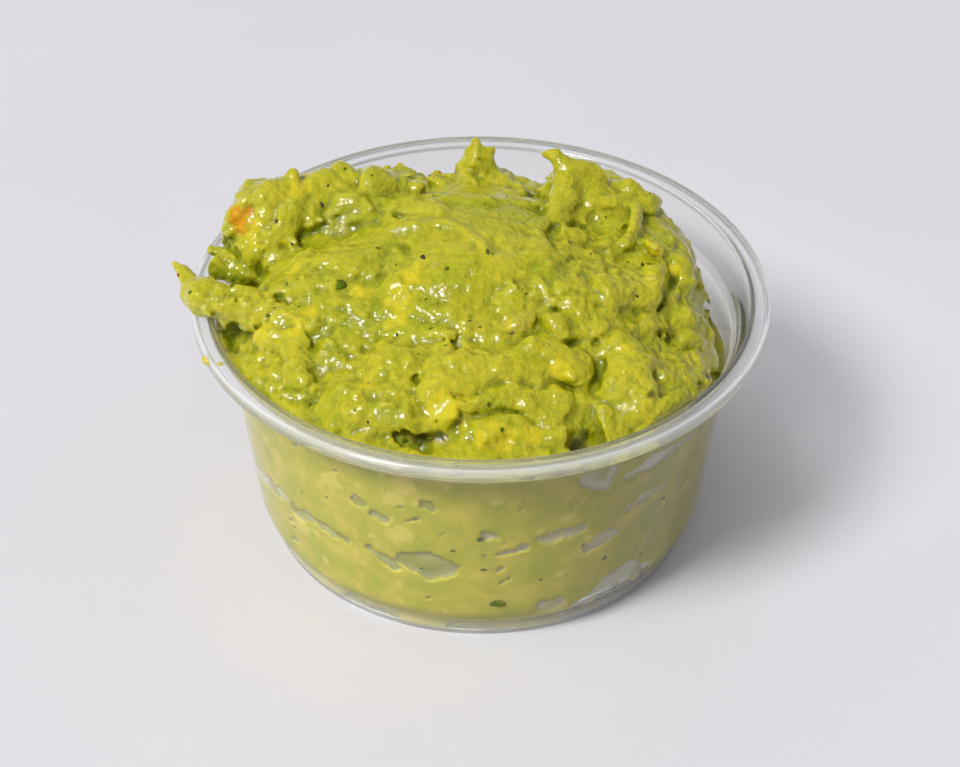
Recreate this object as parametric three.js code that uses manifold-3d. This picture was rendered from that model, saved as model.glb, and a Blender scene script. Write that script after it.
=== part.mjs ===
// Guacamole heaped in a clear portion cup. Millimetres, +Z up, the centre of the cup's flat base at the origin.
// The cup is one turned shell. The guacamole is one solid: it fills the cup to an uneven level at the wall, and
// stands over the rim in a heap of folded lumps, with a few strings and peaks pulled out by the spoon.

import * as THREE from 'three';
import { mergeVertices } from 'three/addons/utils/BufferGeometryUtils.js';
import Module from 'manifold-3d';

const wasm = await Module();
wasm.setup();

// ---- the cup's driving dimensions ----
const CUP_HEIGHT = 34.3;
const RIM_RADIUS = 37.0; // outside of the rolled lip
const FOOT_RADIUS = 27.9; // outside of the foot that the cup stands on
const FOOT_HEIGHT = 2.9;
const SHOULDER_HEIGHT = 6.0; // where the rounded corner over the foot meets the tapered wall
const LEDGE_HEIGHT = 29.4; // stacking ledge, a small step under the rim
const LEDGE_WIDTH = 0.55;
const LEDGE_RISE = 0.5;
const WALL_TOP_RADIUS = 32.75; // outside of the tapered wall at the ledge
const WALL_TAPER = 0.1256; // radius gained for each millimetre of height
const WALL = 0.5;
const LIP_WIDTH = 2.6; // the flat rim, from the mouth to the rolled edge
const LIP_DROP = 1.75; // how far the rolled edge hangs below the top
const LIP_BEND = 1.0; // outer radius of the bends at the mouth and at the rolled edge
const MOUTH_RADIUS = RIM_RADIUS - LIP_WIDTH;
const CUP_SEGMENTS = 64;

// ---- the guacamole's driving dimensions ----
const GAP = 0.3; // between the guacamole and the plastic
const HEAP_INSET = 0.6; // the heap keeps this much further from the wall than the filling does
const FILL_INSET = 5.0; // how far in from the wall the filling's top edge starts to level off
const FILL_CROWN = 1.6; // and how much higher it is there
const HEAP_CENTRE = new THREE.Vector3(-1, 0, 26);
const HEAP_REACH = 50; // further from the heap's centre than any of its surface
const HEAP_STEP = 0.4; // how finely the surface is searched for along each direction
const HEAP_CORE = 13; // radius of the heap's unseen underside, sunk in the filling
const HIDDEN_SLOPE = -0.22; // a direction that falls more than this ends inside the filling
const HEAP_DETAIL = 18; // subdivisions of the heap's ball
const ROPE_SIDES = 9;

const wallRadius = (z) => WALL_TOP_RADIUS - WALL_TAPER * (LEDGE_HEIGHT - z);

// ---- geometry helpers ----

// Merges shared corners, drops the triangles that collapse on the axis, and turns the faces outward.
function weld(geometry) {
  geometry.deleteAttribute('normal');
  geometry.deleteAttribute('uv');
  const merged = mergeVertices(geometry, 1e-5);
  const at = merged.attributes.position;
  const kept = [];
  let volume = 0;
  const [a, b, c] = [new THREE.Vector3(), new THREE.Vector3(), new THREE.Vector3()];
  for (let i = 0; i < merged.index.count; i += 3) {
    const corner = [0, 1, 2].map((k) => merged.index.getX(i + k));
    if (new Set(corner).size < 3) continue;
    kept.push(...corner);
    a.fromBufferAttribute(at, corner[0]);
    b.fromBufferAttribute(at, corner[1]);
    c.fromBufferAttribute(at, corner[2]);
    volume += a.dot(b.cross(c));
  }
  merged.setIndex(volume < 0 ? kept.reverse() : kept);
  return merged;
}

function solid(geometry) {
  const closed = weld(geometry);
  return new wasm.Manifold(new wasm.Mesh({
    numProp: 3,
    vertProperties: new Float32Array(closed.attributes.position.array),
    triVerts: new Uint32Array(closed.index.array),
  }));
}

function geometryOf(manifold) {
  const mesh = manifold.getMesh();
  const geometry = new THREE.BufferGeometry();
  geometry.setAttribute('position', new THREE.BufferAttribute(new Float32Array(mesh.vertProperties), 3));
  geometry.setIndex(new THREE.BufferAttribute(new Uint32Array(mesh.triVerts), 1));
  return geometry;
}

// ---- the cup ----

// Half section of the shell: up the outside, over the lip, and down the inside.
function cupSection() {
  const flange = CUP_HEIGHT - WALL;
  const edge = CUP_HEIGHT - LIP_DROP;
  const innerBend = LIP_BEND - WALL;
  const section = new THREE.Path();
  section.moveTo(0, 0);
  section.lineTo(FOOT_RADIUS - WALL, 0);
  section.quadraticCurveTo(FOOT_RADIUS, 0, FOOT_RADIUS, WALL);
  section.lineTo(FOOT_RADIUS, FOOT_HEIGHT);
  section.quadraticCurveTo(
    wallRadius(FOOT_HEIGHT), FOOT_HEIGHT, wallRadius(SHOULDER_HEIGHT), SHOULDER_HEIGHT);
  section.lineTo(WALL_TOP_RADIUS, LEDGE_HEIGHT - WALL);
  section.lineTo(WALL_TOP_RADIUS + LEDGE_WIDTH, LEDGE_HEIGHT);
  section.lineTo(MOUTH_RADIUS + WALL, flange - innerBend);
  section.quadraticCurveTo(MOUTH_RADIUS + WALL, flange, MOUTH_RADIUS + LIP_BEND, flange);
  section.lineTo(RIM_RADIUS - LIP_BEND, flange);
  section.lineTo(RIM_RADIUS - WALL, flange - innerBend);
  section.lineTo(RIM_RADIUS - WALL, edge + WALL / 2);
  section.quadraticCurveTo(RIM_RADIUS - WALL / 2, edge - WALL / 2, RIM_RADIUS, edge + WALL / 2);
  section.lineTo(RIM_RADIUS, CUP_HEIGHT - LIP_BEND);
  section.quadraticCurveTo(RIM_RADIUS, CUP_HEIGHT, RIM_RADIUS - LIP_BEND, CUP_HEIGHT);
  section.lineTo(MOUTH_RADIUS + LIP_BEND, CUP_HEIGHT);
  section.quadraticCurveTo(MOUTH_RADIUS, CUP_HEIGHT, MOUTH_RADIUS, CUP_HEIGHT - LIP_BEND);
  section.lineTo(WALL_TOP_RADIUS + LEDGE_WIDTH - WALL, LEDGE_HEIGHT + LEDGE_RISE);
  section.lineTo(WALL_TOP_RADIUS - WALL, LEDGE_HEIGHT);
  section.lineTo(wallRadius(SHOULDER_HEIGHT) - WALL, SHOULDER_HEIGHT);
  section.quadraticCurveTo(
    wallRadius(FOOT_HEIGHT) - WALL, FOOT_HEIGHT + WALL, FOOT_RADIUS - WALL, FOOT_HEIGHT + WALL);
  section.lineTo(FOOT_RADIUS - WALL, 2 * WALL);
  section.quadraticCurveTo(FOOT_RADIUS - WALL, WALL, FOOT_RADIUS - 2 * WALL, WALL);
  section.lineTo(0, WALL);
  return section.getPoints(2);
}

// A LatheGeometry turns about Y, so it is laid over to stand on Z.
const turned = (section, segments) => new THREE.LatheGeometry(section, segments).rotateX(Math.PI / 2);

// ---- the filling ----

// How high the guacamole touches the wall, by compass angle in degrees from +X. It is pressed right up to
// the rim at the front (-90) and left, and has sunk away from the wall on the right.
const CONTACT_HEIGHTS = [
  [-180, 30.8], [-150, 31], [-120, 31.8], [-90, 32.3], [-75, 31.8], [-60, 29], [-35, 26], [-10, 24.5],
  [15, 24], [45, 25], [70, 27.5], [90, 28.3], [115, 28.5], [150, 30], [180, 30.8],
];

// The height in a table between the two angles that these degrees lie between
function heightAt(table, degrees) {
  const after = Math.max(1, table.findIndex(([angle]) => angle >= degrees));
  const [a0, z0] = table[after - 1];
  const [a1, z1] = table[after];
  return THREE.MathUtils.lerp(z0, z1, (degrees - a0) / (a1 - a0));
}

// Air trapped between the guacamole and the wall: a shallow dent each, by compass angle and height.
const AIR_POCKETS = [
  { angle: -52, height: 4.6, halfAngle: 15, halfHeight: 4.4, depth: 1.6 },
  { angle: -102, height: 13.6, halfAngle: 7, halfHeight: 2.6, depth: 0.9 },
  { angle: -146, height: 14.2, halfAngle: 16, halfHeight: 2.2, depth: 0.9 },
  { angle: -122, height: 14.1, halfAngle: 9, halfHeight: 2.0, depth: 0.8 },
  { angle: -71, height: 18.4, halfAngle: 6, halfHeight: 1.8, depth: 0.7 },
];

function pocketDepth(degrees, z) {
  return AIR_POCKETS.reduce((depth, pocket) => {
    const across = (degrees - pocket.angle) / pocket.halfAngle;
    const up = (z - pocket.height) / pocket.halfHeight;
    return depth + pocket.depth * Math.max(0, 1 - across ** 2 - up ** 2);
  }, 0);
}

const FILL_TOP = 30; // nominal level, set to each angle's own contact height below
const WALL_ROWS = 8;

function filling() {
  const floor = WALL + GAP;
  const section = new THREE.Path();
  section.moveTo(0, floor);
  section.lineTo(FOOT_RADIUS - 2 * WALL - GAP, floor);
  section.quadraticCurveTo(FOOT_RADIUS - WALL - GAP, floor, FOOT_RADIUS - WALL - GAP, floor + WALL);
  section.lineTo(FOOT_RADIUS - WALL - GAP, FOOT_HEIGHT + WALL + GAP);
  section.quadraticCurveTo(
    wallRadius(FOOT_HEIGHT) - WALL - GAP, FOOT_HEIGHT + WALL + GAP,
    wallRadius(SHOULDER_HEIGHT) - WALL - GAP, SHOULDER_HEIGHT + GAP);
  const points = section.getPoints(2);
  for (let row = 1; row <= WALL_ROWS; row += 1) {
    const z = THREE.MathUtils.lerp(SHOULDER_HEIGHT + GAP, FILL_TOP, row / WALL_ROWS);
    points.push(new THREE.Vector2(wallRadius(z) - WALL - GAP, z));
  }
  points.push(new THREE.Vector2(wallRadius(FILL_TOP) - WALL - GAP - FILL_INSET, FILL_TOP + FILL_CROWN));
  points.push(new THREE.Vector2(0, FILL_TOP + FILL_CROWN));
  const geometry = turned(points, CUP_SEGMENTS);
  const at = geometry.attributes.position;
  for (let i = 0; i < at.count; i += 1) {
    const [x, y, z] = [at.getX(i), at.getY(i), at.getZ(i)];
    const radius = Math.hypot(x, y);
    if (radius < 1) continue;
    const degrees = THREE.MathUtils.radToDeg(Math.atan2(y, x));
    // rows above the shoulder stretch or shrink to this angle's contact height, off the tapered wall
    const stretch = (heightAt(CONTACT_HEIGHTS, degrees) - SHOULDER_HEIGHT) / (FILL_TOP - SHOULDER_HEIGHT);
    const height = z > SHOULDER_HEIGHT + GAP ? SHOULDER_HEIGHT + (z - SHOULDER_HEIGHT) * stretch : z;
    const shift = wallRadius(height) - wallRadius(z) - pocketDepth(degrees, height);
    const drawn = z > floor + WALL ? (radius + Math.min(shift, 0)) / radius : 1;
    at.setXYZ(i, x * drawn, y * drawn, height);
  }
  return solid(geometry);
}

// ---- the heap ----

// The heap is a few big soft masses that melt together, and forms that stand out or are pressed in.
const masses = [];
const swells = [];
const dents = [];

// Each mass melts into those before it over its own blend width.
function mass(centre, radii, blend) {
  masses.push({ centre, radii, blend });
}

// A form along a path of [x, y, half width] seen from above. Its edge is steep at 0.5 and soft at 2.
function swell(path, height, edge) {
  swells.push({ path, height, edge });
}

function dent(path, depth, edge) {
  dents.push({ path, depth, edge });
}

// Big soft masses under everything, the last few on the plainer far side
mass([-1, -1, 21], [31.5, 31, 22.5], 2.5);
mass([-1, -1, 36.5], [15, 13, 8.8], 3);
mass([-16, -4, 34.5], [12.5, 12.5, 7.4], 3);
mass([-19, 9, 34], [10.5, 9.5, 7.6], 3);
mass([18, 2, 33], [10.6, 14, 8.3], 3);
mass([11, -8, 35.5], [10, 10, 6.6], 3);
mass([-2, -19, 29.2], [24, 13.5, 7.8], 3);
mass([-21, -12, 29], [10.5, 14, 7.5], 3);
mass([17, -17, 29], [12, 12, 7.2], 3);
mass([0, 14, 33], [12, 9, 7], 3);
mass([-15, 8, 37.2], [9.5, 6.5, 7.6], 2.5);
mass([-26.4, 7.4, 37], [7.2, 6.8, 8.2], 2.5);
mass([16, 9, 36.2], [8.5, 6.5, 7.4], 2.5);
mass([22.2, 3.6, 33.8], [4.6, 7.6, 5.6], 2.5);
mass([0, 16.5, 37], [5.5, 4.5, 4.4], 1.5);
mass([12.4, 10.2, 41], [4.8, 3.2, 5], 1.5);
mass([-12, 20, 34.5], [6.5, 5.5, 4], 1);
mass([3, 20.5, 32.5], [8, 5, 4.5], 1);
mass([15, 19, 35], [6, 5.5, 4.5], 1);
mass([-22, 17, 34], [6, 5.5, 4.5], 1);

// Middle: a broad smooth mound and the soft ridge that the spoon has left round it
swell([[-10, -10, 4.9], [-1.5, -9.5, 5.7], [7.5, -7.5, 4.5]], 0.8, 2);
swell([
  [-23, -4.5, 1.4], [-17, -5.5, 1.7], [-12, -2, 1.8], [-8.5, 0, 1.8], [-4, -2, 1.6], [-0.5, -5, 1.5],
  [1.5, -9, 1.2],
], 1.1, 1);
dent([[-23, 1.5, 1.5], [-17.5, 2, 1.8], [-12.5, 2.5, 1.5]], 0.8, 2);
swell([[4.5, -12.5, 3.2]], 1, 1);
swell([[3.5, -8, 2], [4, -11.5, 2.2]], 0.8, 1);
swell([[-6.5, -13.5, 2.7], [-4, -14.5, 2.2]], 0.6, 1);
dent([[-3.5, -19, 1.5], [-1.5, -18.5, 1]], 0.8, 0.7);
swell([[-13.5, -12, 3.2]], 0.5, 1);

// Back left: a row of knobs and the ridges that run from them
swell([[-21, 9, 3.2]], 2.6, 0.7);
swell([[-18, 10.5, 2.6]], 3.2, 0.5);
swell([[-14, 9.5, 2.8]], 2.8, 0.5);
swell([[-11.5, 10.5, 2.3]], 4, 0.5);
swell([[-9.8, 8, 1.8]], 0.9, 0.5);
swell([[-5, 15.5, 1.6]], 2.2, 0.5);
swell([[-14.5, 5, 1.3]], 1.2, 0.5);
swell([[-24, 7, 1.5], [-24.5, 1.5, 1.5]], 1.5, 0.7);
swell([[-27.5, 6.5, 3]], 2, 0.6);
swell([[-31, 5.5, 2.2]], 2, 0.6);
swell([[-10.5, 5.5, 1.4], [-7, 4.5, 1.4], [-4.5, 1, 1.3]], 1.2, 1);

// Back: a cross ridge and the slope that falls from it
swell([[-7.5, 4.5, 1.5], [-1.5, 4.5, 1.8], [5, 6.5, 1.8], [8.5, 7, 1.5]], 1, 1);
swell([[8, 1.5, 1.6], [6.5, -6, 1.9]], 1.2, 0.7);

// Right back: torn plates round the curled peak
swell([[14, 6.5, 1.4], [16.5, 7, 1.5], [19, 8.5, 1.3]], 1, 0.7);
swell([[12, -0.5, 1.8]], 1.3, 0.6);
swell([[16, -0.5, 1.9]], 1.3, 0.6);
dent([[15.5, 4.5, 1.9]], 0.8, 1);
swell([[17.8, 11.5, 2.2]], 1.5, 0.5);
swell([[18.5, 10.5, 2.6], [21, 9, 2.2]], 2.3, 0.6);
swell([[21.5, 0.5, 1.4]], 1.6, 0.5);
swell([[25, 3, 1.5]], 0.8, 0.5);
swell([[25.5, -1.5, 2.3]], 1.4, 0.6);
swell([[16, -9, 2.7], [20, -7, 3]], 1.2, 0.7);
swell([[21.5, -4.5, 1.8], [21, -8.5, 1.9]], 2.2, 0.5);

// Front: a wide folded roll, a layer under it and the lobe that rests on the rim
swell([[-2.5, -22.5, 2.9], [2.5, -21.5, 3.6], [8, -20.5, 3.9], [11, -20.5, 3.2]], 2.6, 0.5);
swell([[-5.5, -22, 2.4]], 1.6, 0.7);
swell([[9.5, -16, 1.8]], 2.7, 0.5);
swell([[5, -16, 1.5]], 1.9, 0.5);
swell([[-1.5, -27, 1.4], [9.5, -26, 1.4]], 1, 0.5);
swell([[0, -30.5, 1.8], [4.5, -30, 2.1], [9.5, -29.5, 1.8]], 2.4, 0.5);
swell([[-15.5, -25.5, 3.9], [-9.5, -26.5, 4.1]], 2, 0.6);
swell([[-11, -21.5, 4.4]], 1.2, 1);
swell([[-16, -23.5, 2.4]], 2.6, 0.6);
swell([[-5, -24, 1.9], [-4, -26.5, 1.8], [-4, -27.5, 1.4]], 3, 0.4);

// Left: a tongue folded over the low layer at the rim, and the knobs above it
swell([[-27, -13, 2], [-24, -15, 2.3], [-22, -17.5, 2.2]], 2, 0.4);
swell([[-24, -17.5, 1.8], [-21.5, -20, 1.9]], 1.5, 0.4);
swell([[-18.5, -16.5, 2.9]], 1.2, 1);
swell([[-28.5, 1, 1.8], [-29, 0, 1.7]], 2, 0.5);
swell([[-25, -7.5, 1.5]], 1.9, 0.5);
swell([[-21.5, -8, 3]], 1, 0.8);
swell([[-32, 4.5, 1.8]], 1, 0.6);

// Right front: one big folded lump with a crest, and the crack beside it
swell([[17.5, -17, 2.9], [18, -22, 3.2], [19.5, -24.5, 2.4]], 2.2, 0.5);
swell([[16, -17.5, 1.6]], 2.8, 0.5);
swell([[21, -12.5, 1.6]], 2.3, 0.5);
swell([[26, -8, 3], [29, -4, 3.1]], 2, 0.5);
swell([[18, -26, 1.4]], 3, 0.5);
swell([[15, -25.5, 1.3], [15, -28.5, 1.6]], 2.5, 0.4);

const FORM_BLEND = 0.5; // how softly the swells melt into each other
const LEVEL_BLEND = 0.8; // and the heap into the guacamole that is smeared out to the wall
const LEVEL_SLOPE = 0.22; // how that rises inward from the wall
const HEAP_TOP = 50; // higher than all of the heap
const TOP_STEP = 0.1;

// How high the heap is smeared against the wall, by compass angle in degrees from +X
const HEAP_CONTACT = [
  [-180, 30.6], [-150, 32], [-120, 32.6], [-90, 32.6], [-75, 32.3], [-60, 31.6], [-48, 31], [-40, 28.5],
  [-30, 25.2], [-10, 24], [15, 23.5], [45, 24.5], [70, 27], [90, 27.8], [115, 28], [150, 29.6], [180, 30.6],
];

function ellipsoidDistance([x, y, z], [cx, cy, cz], [rx, ry, rz]) {
  const scaled = Math.hypot((x - cx) / rx, (y - cy) / ry, (z - cz) / rz);
  const slope = Math.hypot((x - cx) / rx ** 2, (y - cy) / ry ** 2, (z - cz) / rz ** 2) + 1e-9;
  return scaled * (scaled - 1) / slope;
}

function smoothMin(a, b, blend) {
  const overlap = Math.max(blend - Math.abs(a - b), 0) / blend;
  return Math.min(a, b) - overlap * overlap * blend / 4;
}

function massesDistance(p) {
  let value = HEAP_REACH;
  for (const { centre, radii, blend } of masses) {
    value = smoothMin(value, ellipsoidDistance(p, centre, radii), blend);
  }
  return value;
}

// The path with the height of the masses' top under each of its points
function onMasses(path) {
  return path.map(([x, y, half]) => {
    let z = HEAP_TOP;
    while (z > FILL_TOP && massesDistance([x, y, z]) > 0) z -= TOP_STEP;
    return [x, y, z, half];
  });
}

for (const form of [...swells, ...dents]) form.spine = onMasses(form.path);

// From 1 on the middle of a form's spine to 0 at its edge
function profile([x, y, z], spine, edge) {
  let nearest = Infinity;
  spine.forEach(([ax, ay, az, ar], i) => {
    const [bx, by, bz, br] = spine[Math.min(i + 1, spine.length - 1)];
    const [dx, dy, dz] = [bx - ax, by - ay, bz - az];
    const length = Math.max(dx * dx + dy * dy + dz * dz, 1e-9);
    const t = THREE.MathUtils.clamp(((x - ax) * dx + (y - ay) * dy + (z - az) * dz) / length, 0, 1);
    const away = Math.hypot(x - ax - t * dx, y - ay - t * dy, z - az - t * dz);
    nearest = Math.min(nearest, away / THREE.MathUtils.lerp(ar, br, t));
  });
  return Math.max(1 - nearest ** 2, 0) ** edge;
}

// How far the forms stand out from the masses
function raised(p) {
  const high = swells.reduce((height, form) => {
    const own = (form.height + FORM_BLEND) * profile(p, form.spine, form.edge) - FORM_BLEND;
    return -smoothMin(-height, -own, FORM_BLEND);
  }, 0);
  return dents.reduce((height, form) => height - form.depth * profile(p, form.spine, form.edge), high);
}

// Slow wander in the place of every form, so that none keeps a plain round outline
function kneaded([x, y, z]) {
  return [
    x + 0.55 * Math.sin(0.40 * y + 0.30 * z + 0.7) + 0.22 * Math.sin(0.95 * y - 0.70 * z + 2.1),
    y + 0.55 * Math.sin(0.38 * x - 0.33 * z + 1.9) + 0.22 * Math.sin(0.90 * x + 0.75 * z + 0.4),
    z + 0.30 * Math.sin(0.43 * x + 0.36 * y + 3.0) + 0.18 * Math.sin(0.98 * x - 0.86 * y + 1.1),
  ];
}

// Inside radius of the cup, which flares out from the ledge to the mouth
function mouthRadius(z) {
  const ledge = WALL_TOP_RADIUS + LEDGE_WIDTH - WALL;
  const flareStart = LEDGE_HEIGHT + LEDGE_RISE;
  const flareEnd = CUP_HEIGHT - LIP_BEND;
  if (z < flareStart) return wallRadius(Math.min(z, LEDGE_HEIGHT)) - WALL;
  return THREE.MathUtils.lerp(ledge, MOUTH_RADIUS, Math.min((z - flareStart) / (flareEnd - flareStart), 1));
}

// Below zero inside the heap
function heapField(p) {
  const radius = Math.hypot(p[0], p[1]);
  const degrees = THREE.MathUtils.radToDeg(Math.atan2(p[1], p[0]));
  const level = heightAt(HEAP_CONTACT, degrees) + LEVEL_SLOPE * (MOUTH_RADIUS - radius);
  const value = smoothMin(massesDistance(p) - raised(kneaded(p)), p[2] - level, LEVEL_BLEND);
  const outsideCup = radius - mouthRadius(p[2]) + GAP + HEAP_INSET;
  const underLip = CUP_HEIGHT + GAP - p[2];
  return Math.max(value, Math.min(outsideCup, underLip));
}

// Distance from the heap's centre to its outermost surface along one direction
function heapRadius(direction) {
  const point = (distance) => [
    HEAP_CENTRE.x + direction.x * distance,
    HEAP_CENTRE.y + direction.y * distance,
    HEAP_CENTRE.z + direction.z * distance,
  ];
  let outer = HEAP_REACH;
  while (outer > HEAP_CORE && heapField(point(outer - HEAP_STEP)) > 0) outer -= HEAP_STEP;
  let inner = outer - HEAP_STEP;
  for (let halving = 0; halving < 10; halving += 1) {
    const middle = (inner + outer) / 2;
    if (heapField(point(middle)) > 0) outer = middle;
    else inner = middle;
  }
  return Math.max(inner, HEAP_CORE);
}

function heap() {
  const geometry = weld(new THREE.IcosahedronGeometry(1, HEAP_DETAIL));
  const at = geometry.attributes.position;
  const direction = new THREE.Vector3();
  for (let i = 0; i < at.count; i += 1) {
    direction.fromBufferAttribute(at, i).normalize();
    const radius = direction.z < HIDDEN_SLOPE ? HEAP_CORE : heapRadius(direction);
    direction.multiplyScalar(radius).add(HEAP_CENTRE);
    at.setXYZ(i, direction.x, direction.y, direction.z);
  }
  return solid(geometry);
}

// ---- strings and peaks pulled out of the heap ----

// One tapering stretch with round ends, turned about its own length
function stretch([ax, ay, az, ar], [bx, by, bz, br]) {
  const from = new THREE.Vector3(ax, ay, az);
  const axis = new THREE.Vector3(bx, by, bz).sub(from);
  const length = axis.length();
  const section = new THREE.Path();
  section.moveTo(0, -ar);
  section.absarc(0, 0, ar, -Math.PI / 2, 0, false);
  section.lineTo(br, length);
  section.absarc(0, length, br, 0, Math.PI / 2, false);
  const geometry = new THREE.LatheGeometry(section.getPoints(2), ROPE_SIDES);
  const turn = new THREE.Quaternion().setFromUnitVectors(new THREE.Vector3(0, 1, 0), axis.normalize());
  geometry.applyQuaternion(turn);
  geometry.translate(ax, ay, az);
  return solid(geometry);
}

const STRINGS = {
  arm: [[-20, -13, 36.8, 2.6], [-26, -9.8, 37.2, 2.5], [-31, -8, 37.3, 2.5], [-34.8, -6.4, 37.2, 2.4],
    [-36.3, -5.4, 37.1, 1.7]],
  armTip: [[-35.6, -5.2, 37.5, 1.3], [-37.2, -3, 38.1, 1], [-38.9, -1, 38.7, 0.45]],
  leftSpike: [[-30, 2, 36.8, 1.6], [-32.4, 2.4, 37.3, 0.9], [-34.7, 3.1, 38, 0.45]],
  leftKnob: [[-30.5, 0.6, 35.9, 1.9], [-32.6, 0.7, 36.1, 1.1], [-33.6, 0.8, 36.3, 1.2]],
  horn: [[-24.4, 7, 42.4, 2.4], [-24.6, 8, 44.3, 1.6], [-24.3, 8.8, 46.4, 0.6]],
  backPeak: [[-1, 17.3, 40.9, 2.4], [-0.9, 18, 43, 1.5], [-0.8, 18.4, 45.3, 0.5], [-0.7, 18.5, 46.2, 0.2]],
  backShoulder: [[0.7, 17.4, 41.5, 1.5], [0.9, 17.8, 43.3, 0.9]],
  curledPeak: [[8.9, 1, 41.3, 2.4], [9.7, 4.5, 42.6, 2.2], [10.4, 7.5, 43.7, 1.9], [10.7, 9.5, 45, 1.5],
    [10.4, 11, 46.3, 1.3], [9.5, 11.5, 47.2, 1], [8, 11.8, 47.2, 0.4]],
  curledStrand: [[12.1, 5, 41.4, 1.7], [12, 8, 42.8, 1.5], [11.5, 10, 44.4, 1.2], [10.8, 11.2, 45.9, 1]],
};

function strings() {
  const pieces = [];
  for (const spine of Object.values(STRINGS)) {
    for (let i = 0; i + 1 < spine.length; i += 1) pieces.push(stretch(spine[i], spine[i + 1]));
  }
  return pieces.reduce((joined, piece) => joined.add(piece));
}

// ---- the object ----

const clearPlastic = new THREE.MeshStandardMaterial({
  name: 'clear-plastic', color: '#e9eef0', roughness: 0.08, metalness: 0, transparent: true, opacity: 0.35,
});
const avocado = new THREE.MeshStandardMaterial({
  name: 'guacamole', color: '#a9ad33', roughness: 0.32, metalness: 0,
});

function named(name, geometry, material) {
  const mesh = new THREE.Mesh(geometry, material);
  mesh.name = name;
  return mesh;
}

const guacamole = new THREE.Group();
guacamole.add(named('cup', weld(turned(cupSection(), CUP_SEGMENTS)), clearPlastic));
guacamole.add(named('guacamole', geometryOf(filling().add(heap()).add(strings())), avocado));

export default guacamole;
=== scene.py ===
"""Guacamole heaped in a clear portion cup: the looks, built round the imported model.

The heap is worked out on a grid of points: big soft masses, the forms that stand out from them or are
pressed into them, the pulled strings, and a low relief of lumps and crumbs. Its surface is drawn out as
one closed mesh. The filling is a turned surface that reaches into the plastic, except where air is
trapped. Small bits lie where the photograph's sight lines meet the heap. Lengths are millimetres until a
mesh is made.
"""

import itertools
import math

import bpy
import numpy as np
from mathutils import Matrix, Vector


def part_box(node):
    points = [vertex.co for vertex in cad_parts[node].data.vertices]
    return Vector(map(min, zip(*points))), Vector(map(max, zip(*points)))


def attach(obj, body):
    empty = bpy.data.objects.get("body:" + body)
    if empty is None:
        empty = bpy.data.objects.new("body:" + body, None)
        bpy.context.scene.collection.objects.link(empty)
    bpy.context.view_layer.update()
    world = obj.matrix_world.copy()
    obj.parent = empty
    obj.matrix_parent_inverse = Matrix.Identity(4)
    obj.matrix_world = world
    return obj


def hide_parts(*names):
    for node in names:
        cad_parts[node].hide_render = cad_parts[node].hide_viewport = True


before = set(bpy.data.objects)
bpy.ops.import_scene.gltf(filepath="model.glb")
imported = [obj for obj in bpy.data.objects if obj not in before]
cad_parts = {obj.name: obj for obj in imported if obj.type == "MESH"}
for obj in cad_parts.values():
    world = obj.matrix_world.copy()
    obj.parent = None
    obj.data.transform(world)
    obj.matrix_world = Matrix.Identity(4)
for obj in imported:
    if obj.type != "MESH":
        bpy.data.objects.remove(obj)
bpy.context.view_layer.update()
MM = 0.001

# ---- the cup's dimensions, as in the part's source ----
CUP_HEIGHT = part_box("cup")[1].z / MM
RIM_RADIUS = (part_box("cup")[1].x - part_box("cup")[0].x) / 2 / MM
FOOT_RADIUS = 27.9
FOOT_HEIGHT = 2.9
SHOULDER_HEIGHT = 6.0
LEDGE_HEIGHT = 29.4
LEDGE_WIDTH = 0.55
LEDGE_RISE = 0.5
WALL_TOP_RADIUS = 32.75
WALL_TAPER = 0.1256
WALL = 0.5
LIP_WIDTH = 2.6
LIP_DROP = 1.75
LIP_BEND = 1.0
EDGE_BEND = 0.45
MOUTH_RADIUS = RIM_RADIUS - LIP_WIDTH

# ---- the photograph's camera ----
PHOTO_WIDTH, PHOTO_HEIGHT = 960, 767
LENS, SENSOR = 100, 36
VIEW_ELEVATION = math.radians(37.44)
VIEW_ROLL = math.radians(-0.3635)
VIEW_DISTANCE = 350.87
VIEW_TARGET = Vector((-0.08, 0, 19.08))


def wall_radius(z):
    """Outside radius of the tapered wall."""
    return WALL_TOP_RADIUS - WALL_TAPER * (LEDGE_HEIGHT - z)


def inner_radius(z):
    """Inside radius of the cup from the shoulder to the mouth."""
    z = np.asarray(z, float)
    wall = wall_radius(np.minimum(z, LEDGE_HEIGHT)) - WALL
    ledge = WALL_TOP_RADIUS + LEDGE_WIDTH - WALL
    flare_start = LEDGE_HEIGHT + LEDGE_RISE
    flare_end = CUP_HEIGHT - LIP_BEND
    flare = ledge + (MOUTH_RADIUS - ledge) * np.clip((z - flare_start) / (flare_end - flare_start), 0, 1)
    step = np.clip((z - LEDGE_HEIGHT) / LEDGE_RISE, 0, 1)
    return wall + (flare - wall) * step


# ---- noise ----

RANDOM = np.random.default_rng(11)
TABLE_SIZE = 1 << 14
GRADIENTS = RANDOM.normal(size=(TABLE_SIZE, 3)).astype(np.float32)
GRADIENTS /= np.linalg.norm(GRADIENTS, axis=1, keepdims=True)
DRAWS = RANDOM.random((TABLE_SIZE, 5)).astype(np.float32)
NOISE_GAIN = 1.8

# Large odd numbers that scatter neighbouring cells over the tables
CELL_FACTORS = (73856093, 19349663, 83492791)
SEED_FACTOR = 2654435761
SCRAMBLE_FACTOR = 2246822519


def hashed(cells, seed):
    """A row of the random tables for each whole-numbered cell."""
    whole = cells.astype(np.int64)
    a, b, c = CELL_FACTORS
    value = whole[:, 0] * a ^ whole[:, 1] * b ^ whole[:, 2] * c ^ seed * SEED_FACTOR
    value ^= value >> 15
    value *= SCRAMBLE_FACTOR
    value ^= value >> 13
    return value & (TABLE_SIZE - 1)


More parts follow.
